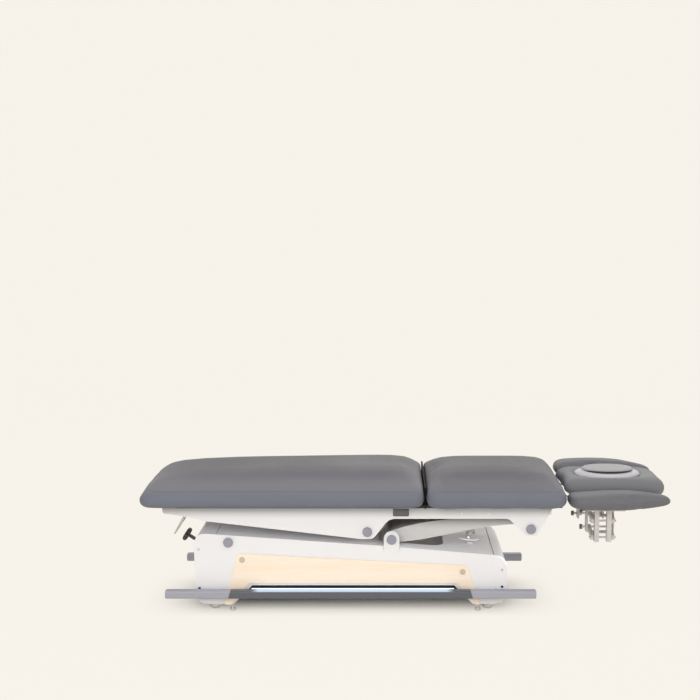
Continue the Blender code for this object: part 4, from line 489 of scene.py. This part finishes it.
# Wood panels on the plates: veneered board in pale maple, cut to the same slanted outline, with a toe
# space below. Two beige caps hide the bolts of each panel.
MAPLE_LIGHT = (0.985, 0.864, 0.742)
MAPLE_DARK = (0.957, 0.768, 0.578)
CAP_BEIGE = (0.575, 0.475, 0.385)
CAP_PLACES = (("foot", -0.641, 0.209), ("head", 0.212, 0.162))
CAP_DOME = ((0.0112, -0.0004), (0.0112, 0.0010), (0.0106, 0.0019), (0.0090, 0.0024), (0.0050, 0.0027),
            (0.0010, 0.0028))


def maple(wire):
    """Veneer: growth lines run along X, wander slowly, and carry short darker pores."""
    where, (_, _, z) = wire.place()
    wander = where.stretch((1.2, 1, 9)).noise(2.2, 3)
    lines = (where.stretch((1.4, 1, 46)).noise(5, 5, 0.65) - 0.5) * 1.6 + 0.5
    rings = ((z * 95 + wander * 5.5).math("SINE") * 0.5 + 0.5) ** 2.2
    pores = where.stretch((14, 200, 330)).noise(3, 1).step(0.62, 0.78)
    figure = (lines * 0.62 + rings * 0.16 + wander * 0.22).step(0.14, 0.92)
    return {
        "Base Color": (1 - pores * 0.10).tint(figure.mix(MAPLE_LIGHT, MAPLE_DARK)),
        "Roughness": lines * 0.14 + 0.34,
        "Height": (lines - pores * 0.6, 0.00010),
    }


maple_veneer = finish_of("maple_veneer", maple, Coat_Weight=0.12, Coat_Roughness=0.3)
dress(maple_veneer, "wood_panel_near", "wood_panel_far")


def plastic(colour):
    """Paint of a moulded plastic: one colour with a slight cloud and a fine matt skin."""
    def paint(wire):
        where, _ = wire.place()
        return {
            "Base Color": (where.noise(40, 2) * 0.06 + 0.97).tint(colour),
            "Roughness": where.noise(70, 2) * 0.10 + 0.40,
            "Height": (where.noise(1500, 1), 0.00006),
        }
    return paint


beige_cap = finish_of("beige_cap", plastic(CAP_BEIGE))
WOOD_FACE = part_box("wood_panel_far")[1][1]
for side_name, side in SIDES:
    for end_name, x, z in CAP_PLACES:
        cap = turned(f"panel_cap_{side_name}_{end_name}", CAP_DOME, (x, side * WOOD_FACE, z), (0, side, 0))
        dress_new(cap, beige_cap, "base")

# Chassis, castors and feet: dark lacquered rails and cross beams, zinc forks with pale wheels that a
# carriage lowers to the floor, and pale plastic feet that carry the table at rest.
TREAD_CLEAN, TREAD_DUSTY = (0.690, 0.672, 0.645), (0.540, 0.520, 0.490)
FOOT_CLEAN, FOOT_DUSTY = (0.800, 0.785, 0.755), (0.640, 0.625, 0.595)
HUB_DISC = ((0.0150, -0.0006), (0.0150, 0.0003), (0.0138, 0.0009), (0.0125, 0.0005), (0.0080, 0.0005),
            (0.0070, 0.0012), (0.0058, 0.0013))
dress(black_lacquer, "base_chassis", "castor_carriage_foot", "castor_carriage_head", "actuator_body")


def tread(wire):
    """Pale grey wheel: a matt tread with dust in its texture."""
    where, _ = wire.place()
    dust = where.noise(120, 3).step(0.42, 0.75)
    return {
        "Base Color": (dust * 0.5).mix(TREAD_CLEAN, TREAD_DUSTY),
        "Roughness": dust * 0.18 + 0.42,
        "Height": (where.noise(700, 2), 0.00012),
    }


def foot_plastic(wire):
    """Pale moulded plastic, a little dusty near the floor."""
    where, (_, _, z) = wire.place()
    dust = (1 - z.step(0.0, 0.02)) * where.noise(200, 3)
    return {
        "Base Color": dust.mix(FOOT_CLEAN, FOOT_DUSTY),
        "Roughness": where.noise(90, 2) * 0.12 + 0.66,
        "Height": (where.noise(900, 2), 0.00015),
    }


pale_tread = finish_of("pale_tread", tread)
pale_foot = finish_of("pale_foot", foot_plastic)
for end_name in ("foot", "head"):
    for side_name, _ in SIDES:
        corner = f"{end_name}_{side_name}"
        dress(bright_zinc, "castor_fork_" + corner)
        dress(pale_tread, "castor_wheel_" + corner)
        dress(pale_foot, "levelling_foot_" + corner)
        low, high = (np.array(point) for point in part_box("castor_wheel_" + corner))
        middle, half = (low + high) / 2, (high - low) / 2
        for face_name, face in (("a", -1), ("b", 1)):
            way = np.array((0, face, 0))
            hub = turned(f"wheel_hub_{corner}_{face_name}", HUB_DISC, middle + half * way, way)
            dress_new(hub, cover_grey, "wheel_" + corner)

# Castor pedal at the foot end: a dark lever that comes through a slot of the end cover, with a rubber
# grip across it. The grip is moulded with rings on both sides of the lever.
PEDAL_GREY = (0.054, 0.052, 0.057)
RIB_PITCH = 0.0080
RIBS_EACH_SIDE = 7
pedal_grey = finish_of("pedal_grey", plastic(PEDAL_GREY))
dress(pedal_grey, "castor_pedal", "pedal_grip")
grip_low, grip_high = (np.array(point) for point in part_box("pedal_grip"))
grip_middle = (grip_low + grip_high) / 2
grip_radius = (grip_high[2] - grip_low[2]) / 2
RIB_RING = ((grip_radius * 0.96, -0.0020), (grip_radius + 0.0007, -0.0014), (grip_radius + 0.0011, 0.0),
            (grip_radius + 0.0007, 0.0014), (grip_radius * 0.96, 0.0020))
for number in (*range(-RIBS_EACH_SIDE, 0), *range(1, RIBS_EACH_SIDE + 1)):
    place = grip_middle + (0, number * RIB_PITCH, 0)
    rib = turned(f"grip_rib_{number + RIBS_EACH_SIDE}", RIB_RING, place, (0, 1, 0), count=32)
    dress_new(rib, pedal_grey, "pedal")

# Mains inlet on the foot cover: a black moulded socket with an open recess, snapped into the sheet. Its
# three flat pins are zinc plated.
INLET_BLACK = (0.020, 0.020, 0.022)
PINS = ((-0.009, -0.003), (0.009, -0.003), (0.0, 0.005))
PIN_HALF_WIDTH, PIN_HALF_HEIGHT, PIN_CORNER, PIN_EDGE = 0.0010, 0.0022, 0.0008, 0.0003
PIN_FRONT, PIN_BACK = 0.0010, 0.0035
black_moulding = finish_of("black_moulding", plastic(INLET_BLACK))
dress(black_moulding, "mains_inlet")
inlet_low, inlet_high = (np.array(point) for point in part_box("mains_inlet"))
_, inlet_y, inlet_z = (inlet_low + inlet_high) / 2
pin_low, pin_high = inlet_low[0] + PIN_FRONT, inlet_high[0] - PIN_BACK
for number, (y, z) in enumerate(PINS):
    outline = round_box(
        inlet_y + y - PIN_HALF_WIDTH, inlet_y + y + PIN_HALF_WIDTH,
        inlet_z + z - PIN_HALF_HEIGHT, inlet_z + z + PIN_HALF_HEIGHT, PIN_CORNER, count=4)
    pin = moulded(f"inlet_pin_{number}", outline, "X", pin_low, pin_high, PIN_EDGE)
    dress_new(pin, bright_zinc, "base")

# Light strips behind the foot bars: clear extruded diffusers over a row of small lamps, fixed in the toe
# space of the wood panels. They shine a cool white below a dark upper strip of painted shade, the shadowed
# gap above them.
GLOW = (0.70, 0.86, 1.0)
GLOW_TOP = 0.0920
GLOW_BLUR = 0.0012
DIFFUSER_CLEAR, DIFFUSER_PAINTED_SHADE = (0.80, 0.88, 0.95), (0.03, 0.035, 0.04)


def diffuser(wire):
    """A cool light in the lower half, brighter over each lamp of the row, below a dark upper strip of painted
    shade.
    """
    where, (x, _, z) = wire.place()
    lamps = ((x * 300).math("SINE") * 0.5 + 0.5) * 0.2 + 0.8
    # painted shade: the diffuser's top is painted dark where the gap above it lies in shadow
    edge = z.step(GLOW_TOP, GLOW_TOP + GLOW_BLUR)
    return {
        "Base Color": edge.mix(DIFFUSER_CLEAR, DIFFUSER_PAINTED_SHADE),
        "Roughness": where.noise(60, 1) * 0.1 + 0.3,
        "Emission Color": (lamps * (1 - edge)).tint(GLOW),
    }


strip_glow = finish_of("strip_glow", diffuser, Emission_Strength=1.6)
dress(strip_glow, "led_strip_near", "led_strip_far")

# Foot bars: long extruded switch bars, one beside each plate, pressed anywhere to lift or lower the
# table. The middle is slate grey, and lighter end pieces meet it on a slant.
BAR_SLATE = (0.099, 0.108, 0.127)
BAR_PALE = (0.362, 0.358, 0.415)
JOINT_FOOT, JOINT_HEAD, JOINT_SLANT = -0.688, 0.246, 0.30
BAR_MIDDLE_Z = 0.0808
BAR_TOP_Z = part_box("foot_bar_near")[1][2]
STRIP_LOW, STRIP_HIGH = (point[0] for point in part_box("led_strip_near"))
STRIP_FADE = 0.035
PAINTED_STRIP_LIGHT_DEPTHS = (0.0055, 0.0010)


def bar_plastic(wire):
    """Slate middle and pale ends, parted by two dark hairlines that lean outward toward the floor.
    Along the light strip the upper edge carries painted light, the strip's light falling on the bar."""
    where, (x, _, z) = wire.place()
    lean = (z - BAR_MIDDLE_Z) * JOINT_SLANT
    inner = (x - lean - JOINT_FOOT).math("MINIMUM", JOINT_HEAD - x - lean)
    middle = inner.step(-0.0004, 0.0004)
    line = 1 - inner.math("ABSOLUTE").step(0.0003, 0.0010)
    brush = where.stretch((3, 60, 60)).noise(30, 2)
    tone = (brush * 0.08 + 0.96).tint(middle.mix(BAR_PALE, BAR_SLATE))
    along = x.step(STRIP_LOW, STRIP_LOW + STRIP_FADE) * (1 - x.step(STRIP_HIGH - STRIP_FADE, STRIP_HIGH))
    # painted light: emission on the bar's upper edge along the strip stands for the strip's light falling on
    # it
    painted_strip_light = z.step(*(BAR_TOP_Z - depth for depth in PAINTED_STRIP_LIGHT_DEPTHS)) * along
    return {
        "Base Color": (1 - line * 0.45).tint(tone),
        "Roughness": brush * 0.12 + 0.36,
        "Emission Color": painted_strip_light.tint(GLOW),
        "Height": (where.noise(1100, 1) - line * 2.0, 0.00010),
    }


# the emission strength sets the painted strip light on the bar's upper edge
bar_two_tone = finish_of("bar_two_tone", bar_plastic, Emission_Strength=0.72)
dress(bar_two_tone, "foot_bar_near", "foot_bar_far")

# Lift arms and their drive: a box beam at the foot end, a wide swept arm at the head end, a screw
# actuator between the rails, and turned spindles with grey plastic caps at all the pivots.
# painted shade: the arms' white is painted greyer, and darker on the crown under the frame, where shadow
# falls
ARM_SHADED_WHITE = (0.620, 0.607, 0.605)
ARM_PAINTED_SHADE_Z = (0.318, 0.366)
ARM_SHADE = 0.48
SPINDLE_STEEL = (0.46, 0.46, 0.47)
CAP_GREY = (0.296, 0.297, 0.350)


def arm_coat(wire):
    """The plates' white powder coat painted greyer as shade, and darker still by painted shade on the crown
    that turns up under the frame.
    """
    where, (_, _, z) = wire.place()
    cloud = where.noise(9, 3) * 0.04 + 0.98
    painted_shade = 1 - z.step(*ARM_PAINTED_SHADE_Z) * ARM_SHADE
    return {
        "Base Color": (cloud * painted_shade).tint(ARM_SHADED_WHITE),
        "Roughness": where.noise(45, 2) * 0.10 + 0.40,
        "Height": (orange_peel(where), 0.00012),
    }


arm_white = finish_of("arm_white", arm_coat)
dress(arm_white, "rear_lift_arm", "front_lift_arm")
dress(bright_zinc, "actuator_rod")


def pivot_finish(wire):
    """Grey plastic caps outside the plates and bare steel between them."""
    where, (_, y, _) = wire.place()
    outside = y.math("ABSOLUTE").step(PLATE_FACE - 0.0006, PLATE_FACE)
    return {
        "Base Color": outside.mix(SPINDLE_STEEL, CAP_GREY),
        "Roughness": where.noise(90, 2) * 0.10 + 0.38,
        "Metallic": 1 - outside,
        "Height": (where.noise(1300, 1), 0.00006),
    }


pivot_grey = finish_of("pivot_grey", pivot_finish)
dress(pivot_grey, "pivot_rear_base", "pivot_front_base", "pivot_rear_top", "pivot_front_top")

# Top frame: two white side webs with rounded lugs at the pivots, joined by cross rails, and the bent
# wire that holds a paper roll under the foot end. The near web carries a bare dark plate and two rivets.
RAIL_TOP_Z = 0.4125
PAINTED_SHADE_DEPTH = 0.046
PAINTED_SHADE_STRENGTH = 0.43
LEAF_BLACK = (0.010, 0.010, 0.011)
PLATE_DARK = (0.118, 0.114, 0.128)
PLATE_BOX = (-0.0575, 0.0040, 0.3800, 0.4085)
PLATE_CORNERS = (0.005, 0.005, 0.001, 0.001)
PLATE_STANDS, PLATE_SUNK, PLATE_EDGE = 0.0026, 0.0002, 0.0006
RIVETS_X, RIVETS_Z = (0.208, 0.312), 0.390
RIVET_DOME = ((0.0042, -0.0004), (0.0042, 0.0006), (0.0034, 0.0014), (0.0016, 0.0018), (0.0004, 0.0019))


def frame_finish(wire):
    """The plates' powder coat, with painted shade toward the upper edge that the cushions overhang."""
    coat = powder_coat(wire)
    _, (_, _, z) = wire.place()
    # painted shade: the coat is painted darker toward the upper edge, where the cushions' shadow falls
    painted_shade = z.step(RAIL_TOP_Z - PAINTED_SHADE_DEPTH, RAIL_TOP_Z) * PAINTED_SHADE_STRENGTH
    return coat | {"Base Color": (1 - painted_shade).tint(coat["Base Color"])}


def leaf_finish(wire):
    """White powder coat on the rail, and blackened steel on the hinge leaf that stands up from it."""
    where, (_, _, z) = wire.place()
    leaf = z.step(RAIL_TOP_Z - 0.0004, RAIL_TOP_Z + 0.0004)
    return {
        "Base Color": leaf.mix(POWDER_WHITE, LEAF_BLACK),
        "Roughness": leaf * 0.30 + where.noise(60, 2) * 0.12 + 0.38,
        "Height": (where.noise(900, 1), 0.00010),
    }


frame_coat = finish_of("frame_powder_coat", frame_finish, Specular_IOR_Level=0.45)
leaf_steel = finish_of("leaf_steel", leaf_finish, Specular_IOR_Level=0.2)
dress(frame_coat, "frame_plate_near", "frame_plate_far")
dress(white_coat, "rail_foot", "rail_head")
dress(leaf_steel, "rail_middle")
dress(bright_zinc, "paper_roll_holder")
plate_dark = finish_of("plate_dark", plastic(PLATE_DARK))
WEB_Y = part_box("frame_plate_near")[0][1]
outline = round_box(*PLATE_BOX, PLATE_CORNERS)
plate = moulded("bare_plate", outline, "Y", WEB_Y - PLATE_STANDS, WEB_Y + PLATE_SUNK, PLATE_EDGE)
dress_new(plate, plate_dark, "top_frame")
for number, x in enumerate(RIVETS_X):
    rivet = turned(f"frame_rivet_{number}", RIVET_DOME, (x, WEB_Y, RIVETS_Z), (0, -1, 0), count=24)
    dress_new(rivet, white_coat, "top_frame")

# Section boards: dark coated plywood under each cushion, screwed to the frame and to the hinges. The
# leg board carries the moving leaf of its hinge, which stands up at its end.
FILM_DEEP, FILM_PALE = (0.045, 0.043, 0.043), (0.075, 0.071, 0.070)
LEAF_FOOT_Z = 0.4245


def coated_board(wire):
    """Dark film-faced board, slightly mottled, with a blackened hinge leaf above it."""
    where, (_, _, z) = wire.place()
    leaf = z.step(LEAF_FOOT_Z, LEAF_FOOT_Z + 0.001)
    return {
        "Base Color": leaf.mix(where.noise(14, 4).mix(FILM_DEEP, FILM_PALE), LEAF_BLACK),
        "Roughness": where.noise(40, 3) * 0.2 + 0.6,
        "Height": (where.stretch((1, 8, 8)).noise(300, 2), 0.00010),
    }


board_film = finish_of("board_film", coated_board, Specular_IOR_Level=0.2)
dress(board_film, "middle_board", "leg_board", "head_board")

# Head section frame and armrest linkage: black straps screwed under the head board carry pale lacquered
# mounts, and each armrest hangs on two parallel links with steel pins and dark knobs.
LINK_GREY = (0.60, 0.575, 0.560)
KNOB_DARK = (0.090, 0.088, 0.092)
STRAP_BLACK = (0.040, 0.040, 0.043)
STRAP_Z = 0.4035
KNOB_X = 0.6895
CHANGE = 0.0006


def link_lacquer(wire):
    """Pale grey lacquer, slightly cloudy, with a fine metallic sparkle."""
    where, _ = wire.place()
    return {
        "Base Color": (where.noise(50, 3) * 0.16 + 0.92).tint(LINK_GREY),
        "Roughness": where.noise(70, 2) * 0.16 + 0.32,
        "Metallic": where.noise(400, 1).step(0.45, 0.75) * 0.45,
        "Height": (where.noise(900, 2), 0.00008),
    }


def head_frame_finish(wire):
    """Black straps under the head board, pale lacquered mounts below them and dark grey knobs."""
    where, (x, _, z) = wire.place()
    strap = z.step(STRAP_Z - CHANGE, STRAP_Z + CHANGE)
    mount = x.step(KNOB_X - CHANGE, KNOB_X + CHANGE)
    tone = strap.mix(mount.mix(KNOB_DARK, LINK_GREY), STRAP_BLACK)
    return {
        "Base Color": (where.noise(50, 3) * 0.12 + 0.94).tint(tone),
        "Roughness": where.noise(70, 2) * 0.14 + 0.36,
        "Height": (where.noise(900, 2), 0.00008),
    }


grey_link = finish_of("grey_link", link_lacquer)
head_frame_coat = finish_of("head_frame_coat", head_frame_finish)
dress(head_frame_coat, "head_frame")
for side_name, _ in SIDES:
    links = ("armrest_bracket_", "armrest_link_upper_", "armrest_link_lower_")
    dress(grey_link, *(link + side_name for link in links))

# Leg and middle cushions: moulded foam on the section boards, covered in grey coated fabric drawn tight
# and stapled below. The cover's top panel is sewn to a side band along the shoulder, with a fine welt; the
# side band's lighter, bluer tone is painted light.
LEG_FABRIC = (0.121, 0.119, 0.134)
# painted shade: the middle cushion's fabric is a darker copy of the leg fabric, evening the brighter light on
# it
MIDDLE_FABRIC_PAINTED_DARKER = (0.107, 0.105, 0.118)
# painted light: the side below the shoulder is a lighter, bluer copy of the fabric, for the light on the side
SIDE_PAINTED_LIGHT_FABRIC = (0.160, 0.170, 0.206)
WELT_FABRIC = (0.136, 0.138, 0.156)
SHOULDER_Z = 0.4845
SHOULDER_BLUR = 0.012
# painted light: the fabric is painted paler by this factor on the slope just above the shoulder
SHOULDER_PAINTED_LIGHT = 1.54
PAINTED_LIGHT_RISE = (0.016, 0.064)
WELT_RADIUS = 0.0009
POINTS_PER_METRE = 1e5
COVER_STEPS = 20
COVER_CLOTH = {
    "quality": 4, "mass": 0.4, "tension_stiffness": 25, "compression_stiffness": 25, "shear_stiffness": 12,
    "bending_stiffness": 2, "use_pressure": True, "uniform_pressure_force": 4}


def coated_fabric(colour, lower_painted_tone, level=SHOULDER_Z, blur=SHOULDER_BLUR, painted_light=1.0):
    """Paint of a coated fabric: a pebble grain about 1 mm across with painted shade in its valleys, fine
    creases, slow changes of tone from handling, painted light that makes it paler just above a level, a
    second tone below the level, which is painted light, and a soft sheen where rubbed."""
    def paint(wire):
        where, (_, _, z) = wire.place()
        pebble = where.cells(950, "SMOOTH_F1")
        valley = where.cells(950, "DISTANCE_TO_EDGE").step(0.0, 0.16)
        crease = where.stretch((1.0, 0.55, 1.6)).noise(42, 4, 0.6)
        rubbed = where.noise(3.2, 3).step(0.38, 0.68)
        # painted light: just above the level the fabric is painted paler
        painted_light_share = 1 - z.step(*(level + height for height in PAINTED_LIGHT_RISE))
        top = painted_light_share.mix(colour, [painted_light * part for part in colour])
        # painted light: below the level the lighter second tone is painted on
        tone = (1 - z.step(level - blur, level + blur)).mix(top, lower_painted_tone)
        # painted shade in the grain's valleys, times slow random tone from handling
        shade = (valley * 0.10 + 0.92) * (where.noise(5, 3) * 0.10 + 0.95)
        return {
            "Base Color": shade.tint(tone),
            "Roughness": 0.50 - rubbed * 0.07 + pebble * 0.10,
            "Height": (valley * 0.55 + crease * 0.9 - pebble * 0.3, 0.00022),
        }
    return paint


leg_fabric = finish_of(
    "leg_coated_fabric", coated_fabric(LEG_FABRIC, SIDE_PAINTED_LIGHT_FABRIC, painted_light=SHOULDER_PAINTED_LIGHT), Specular_IOR_Level=0.30)
middle_fabric = finish_of(
    "middle_coated_fabric", coated_fabric(MIDDLE_FABRIC_PAINTED_DARKER, SIDE_PAINTED_LIGHT_FABRIC, painted_light=SHOULDER_PAINTED_LIGHT),
    Specular_IOR_Level=0.30)
welt_fabric = finish_of("welt_fabric", coated_fabric(WELT_FABRIC, WELT_FABRIC))


def settled(piece):
    """A new mesh of the piece with its modifiers carried out."""
    graph = bpy.context.evaluated_depsgraph_get()
    return bpy.data.meshes.new_from_object(piece.evaluated_get(graph))


def merged(mesh):
    """Points and triangles of a CAD node's loose triangles, with points that coincide made one."""
    keys = np.round(vertices_of(mesh) * POINTS_PER_METRE).astype(int)
    keys, index = np.unique(keys, axis=0, return_inverse=True)
    corners = index.ravel()[triangles_of(mesh)]
    whole = (corners != np.roll(corners, 1, axis=1)).all(axis=1)
    return keys / POINTS_PER_METRE, corners[whole]


def blown_up(piece, start, limit):
    """The piece's points after Cloth with pressure and no gravity: p = start + d min(1, limit / |d|)."""
    cloth = piece.modifiers.new("cover", "CLOTH")
    for key, value in COVER_CLOTH.items():
        setattr(cloth.settings, key, value)
    cloth.settings.effector_weights.gravity = 0
    cloth.point_cache.frame_start = 1
    cloth.point_cache.frame_end = COVER_STEPS
    for step in range(1, COVER_STEPS + 1):
        scene.frame_set(step)
    move = vertices_of(settled(piece)) - start
    piece.modifiers.clear()
    scene.frame_set(1)
    move -= move.mean(0)
    length = np.linalg.norm(move, axis=1, keepdims=True)
    return start + move * np.minimum(1, limit / np.maximum(length, 1e-9))


def stuffed(name, node, body, material, voxel, inward, limit, form=None):
    """A padded piece: the node's own form drawn in by inward, remeshed in voxels, blown up by at most limit,
    fitted to the node's box again and given its last form(points, low, high)."""
    low, high = (np.array(point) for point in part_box(node))
    points, faces = merged(nodes[node].data)
    middle, half = (low + high) / 2, (high - low) / 2
    mesh = bpy.data.meshes.new(name)
    mesh.from_pydata((middle + (points - middle) * (1 - inward / half)).tolist(), [], faces.tolist())
    piece = bpy.data.objects.new(name, mesh)
    scene.collection.objects.link(piece)
    face_out(piece)
    remesh = piece.modifiers.new("voxels", "REMESH")
    remesh.mode = "VOXEL"
    remesh.voxel_size = voxel
    piece.data = settled(piece)
    piece.modifiers.clear()
    points = vertices_of(piece.data)
    points = blown_up(piece, points, limit)
    least, most = points.min(0), points.max(0)
    points = low + (points - least) * (high - low) / (most - least)
    if form:
        points = form(points, low, high)
    piece.data.vertices.foreach_set("co", points.ravel())
    piece.data.shade_smooth()
    smooth = piece.modifiers.new("smooth", "SUBSURF")
    smooth.levels = smooth.render_levels = 1
    dress_new(piece, material, body)
    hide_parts(node)
    return piece


def level_line(piece, height, count):
    """Points at even steps round the outline in which a level plane cuts a piece."""
    mesh = settled(piece)
    points = vertices_of(mesh)
    ends = np.empty(len(mesh.edges) * 2, int)
    mesh.edges.foreach_get("vertices", ends)
    a, b = points[ends.reshape(-1, 2)].transpose(1, 0, 2)
    cut = (a[:, 2] > height) != (b[:, 2] > height)
    a, b = a[cut], b[cut]
    line = a + (b - a) * ((height - a[:, 2]) / (b[:, 2] - a[:, 2]))[:, None]
    least, most = line.min(0)[:2], line.max(0)[:2]
    out = (line[:, :2] - (least + most) / 2) / (most - least)
    line = line[np.argsort(np.arctan2(out[:, 1], out[:, 0]))]
    line = np.concatenate([line, line[:1]])
    run = np.concatenate([[0], np.cumsum(np.linalg.norm(np.diff(line, axis=0), axis=1))])
    steps = np.linspace(0, run[-1], count, endpoint=False)
    line = np.stack([np.interp(steps, run, part) for part in line.T], -1)
    for _ in range(2):
        line = (np.roll(line, 1, 0) + 2 * line + np.roll(line, -1, 0)) / 4
    return line


def welt(name, pad, body, count):
    """The fine sewn edge round a cushion's shoulder."""
    seam = tube(name, level_line(pad, SHOULDER_Z, count), WELT_RADIUS)
    return dress_new(seam, welt_fabric, body)


BOARD_EDGE = 0.290
LEG_HANG, MIDDLE_HANG = 0.0092, 0.0118
HANG_REACH, HANG_HEIGHT = 0.035, 0.055
CROWN_RISE = 0.018
CROWN_REACH = (0.10, 0.30)
SHOULDER_START = 0.180
SHOULDER_FALL = 0.048
GAP_FALL = 0.45
GAP_REACH = (0.010, 0.070)
PRESS = 0.007
PRESS_REACH = (0.012, 0.060)
PRESS_HEIGHT = (0.035, 0.075)
PRESS_LIMIT = 0.85
FOOT_REACH = 0.200
FOOT_BOW_SIDE, FOOT_BOW_MIDDLE = 0.007, 0.008
TOP_LIFT, TOP_TILT = 0.004, 0.009


def rise(value, low, high):
    """0 below low, 1 above high and a smooth rise between: t t (3 - 2 t)."""
    share = np.clip((value - low) / (high - low), 0, 1)
    return share * share * (3 - 2 * share)


def crowned(points, low, high, hang, gap_x):
    """Foam crowned across its width, z + (rise - fall) s^2 with s the share of its height and the fall
    less next to the gap. Outside the board's edge the underside hangs lower."""
    x, y, z = points.T
    out = np.abs(y)
    share = np.clip((z - low[2]) / (high[2] - low[2]), 0, 1)
    fall = SHOULDER_FALL * np.clip((out - SHOULDER_START) / (high[1] - SHOULDER_START), 0, 1) ** 1.6
    fall *= GAP_FALL + (1 - GAP_FALL) * rise(np.abs(x - gap_x), *GAP_REACH)
    crown = CROWN_RISE * (1 - rise(out, *CROWN_REACH)) - fall
    below = rise(out, BOARD_EDGE, BOARD_EDGE + HANG_REACH) * (1 - rise(z - low[2], 0.0, HANG_HEIGHT))
    return np.stack([x, y, z + crown * share ** 2 - hang * below], -1)


def pressed(points, low, high, end):
    """Next to a gap the shoulder is pressed forward, by PRESS near that end but never past it."""
    x, y, z = points.T
    left = end * ((high if end > 0 else low)[0] - x)
    ahead = np.minimum(PRESS * (1 - rise(left, *PRESS_REACH)), left * PRESS_LIMIT)
    return np.stack([x + end * ahead * rise(z - low[2], *PRESS_HEIGHT), y, z], -1)


def leg_form(points, low, high):
    """The leg cushion's foot end bows out, and its top falls toward that end."""
    x, y, z = pressed(crowned(points, low, high, LEG_HANG, high[0]), low, high, 1).T
    foot = rise(low[0] + FOOT_REACH - x, 0.0, FOOT_REACH)
    bow = FOOT_BOW_SIDE + FOOT_BOW_MIDDLE * (1 - (y / high[1]) ** 2)
    tilt = TOP_LIFT - TOP_TILT * rise(high[0] - x, 0.0, high[0] - low[0])
    share = (z - low[2]) / (high[2] - low[2])
    return np.stack([x - bow * foot, y, z + tilt * share ** 2], -1)


def middle_form(points, low, high):
    """The middle cushion is pressed against the leg cushion."""
    return pressed(crowned(points, low, high, MIDDLE_HANG, low[0]), low, high, -1)


leg_pad = stuffed(
    "leg_pad", "leg_cushion", "leg_section", leg_fabric,
    voxel=0.010, inward=0.004, limit=0.009, form=leg_form)
middle_pad = stuffed(
    "middle_pad", "middle_cushion", "top_frame", middle_fabric,
    voxel=0.008, inward=0.004, limit=0.009, form=middle_form)
welt("leg_welt", leg_pad, "leg_section", count=420)
welt("middle_welt", middle_pad, "top_frame", count=320)

# Head pad, face plug and armrest pads: the same covered foam, without a welt. The head pad has a
# breathing hole that the lighter plug closes. A black cord along the near side of the plug's lid is a painted
# shadow of the groove there.
HEAD_FABRIC = (0.172, 0.170, 0.184)
WING_FABRIC = (0.136, 0.137, 0.152)
# painted light: the plug's rim is a lighter copy of the lid's fabric
LID_FABRIC, RIM_FABRIC_PAINTED_LIGHTER = (0.372, 0.362, 0.372), (0.560, 0.550, 0.580)
GROOVE_SHADOW_BLACK = (0.012, 0.012, 0.014)
GROOVE_SHADOW_SUNK = 0.0105
GROOVE_SHADOW_REACH_X, GROOVE_SHADOW_REACH_Y = 0.1020, 0.0850
GROOVE_SHADOW_START, GROOVE_SHADOW_END = math.radians(196), math.radians(344)
GROOVE_SHADOW_THIN, GROOVE_SHADOW_THICK = 0.0006, 0.0040
GROOVE_SHADOW_POINTS = 49
RIM_BLUR = 0.0012
ROOT_REACH, ROOT_DRAW = 0.090, 0.35
head_fabric = finish_of(
    "head_coated_fabric", coated_fabric(HEAD_FABRIC, HEAD_FABRIC), Specular_IOR_Level=0.42)
wing_fabric = finish_of(
    "wing_coated_fabric", coated_fabric(WING_FABRIC, WING_FABRIC), Specular_IOR_Level=0.42)
plug_low, plug_high = (np.array(point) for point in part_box("face_plug"))
groove_shadow_z = plug_high[2] - GROOVE_SHADOW_SUNK
plug_fabric = finish_of("plug_coated_fabric", coated_fabric(LID_FABRIC, RIM_FABRIC_PAINTED_LIGHTER, groove_shadow_z, RIM_BLUR))
stuffed("head_pad", "head_cushion", "head_section", head_fabric, voxel=0.006, inward=0.003, limit=0.006)
stuffed("plug_pad", "face_plug", "plug", plug_fabric, voxel=0.003, inward=0.0012, limit=0.0012)


def square_root_end(points, low, high):
    """An armrest pad whose inner end is squarer: near it x is drawn toward that end."""
    x, y, z = points.T
    near = 1 - rise(x, low[0], low[0] + ROOT_REACH)
    return np.stack([x - ROOT_DRAW * near * (x - low[0]), y, z], -1)


for side_name, _ in SIDES:
    stuffed("arm_pad_" + side_name, "armrest_pad_" + side_name, "armrest_" + side_name, wing_fabric,
            voxel=0.005, inward=0.003, limit=0.007, form=square_root_end)
# painted shadow: a black cord along the lid's near side stands for the shadow in the groove there
painted_groove_shadow = finish_of("painted_groove_shadow", plastic(GROOVE_SHADOW_BLACK))
sweep = np.linspace(GROOVE_SHADOW_START, GROOVE_SHADOW_END, GROOVE_SHADOW_POINTS)
groove_shadow_x, groove_shadow_y, _ = (plug_low + plug_high) / 2
groove_shadow_path = np.stack([
    groove_shadow_x + GROOVE_SHADOW_REACH_X * np.cos(sweep),
    groove_shadow_y + GROOVE_SHADOW_REACH_Y * np.sin(sweep),
    np.full(GROOVE_SHADOW_POINTS, groove_shadow_z),
], -1)
groove_shadow_radius = GROOVE_SHADOW_THIN + GROOVE_SHADOW_THICK * np.sin(np.linspace(0, math.pi, GROOVE_SHADOW_POINTS)) ** 0.7
groove_shadow = tube("plug_groove_shadow", groove_shadow_path, groove_shadow_radius, closed=False)
dress_new(groove_shadow, painted_groove_shadow, "plug")
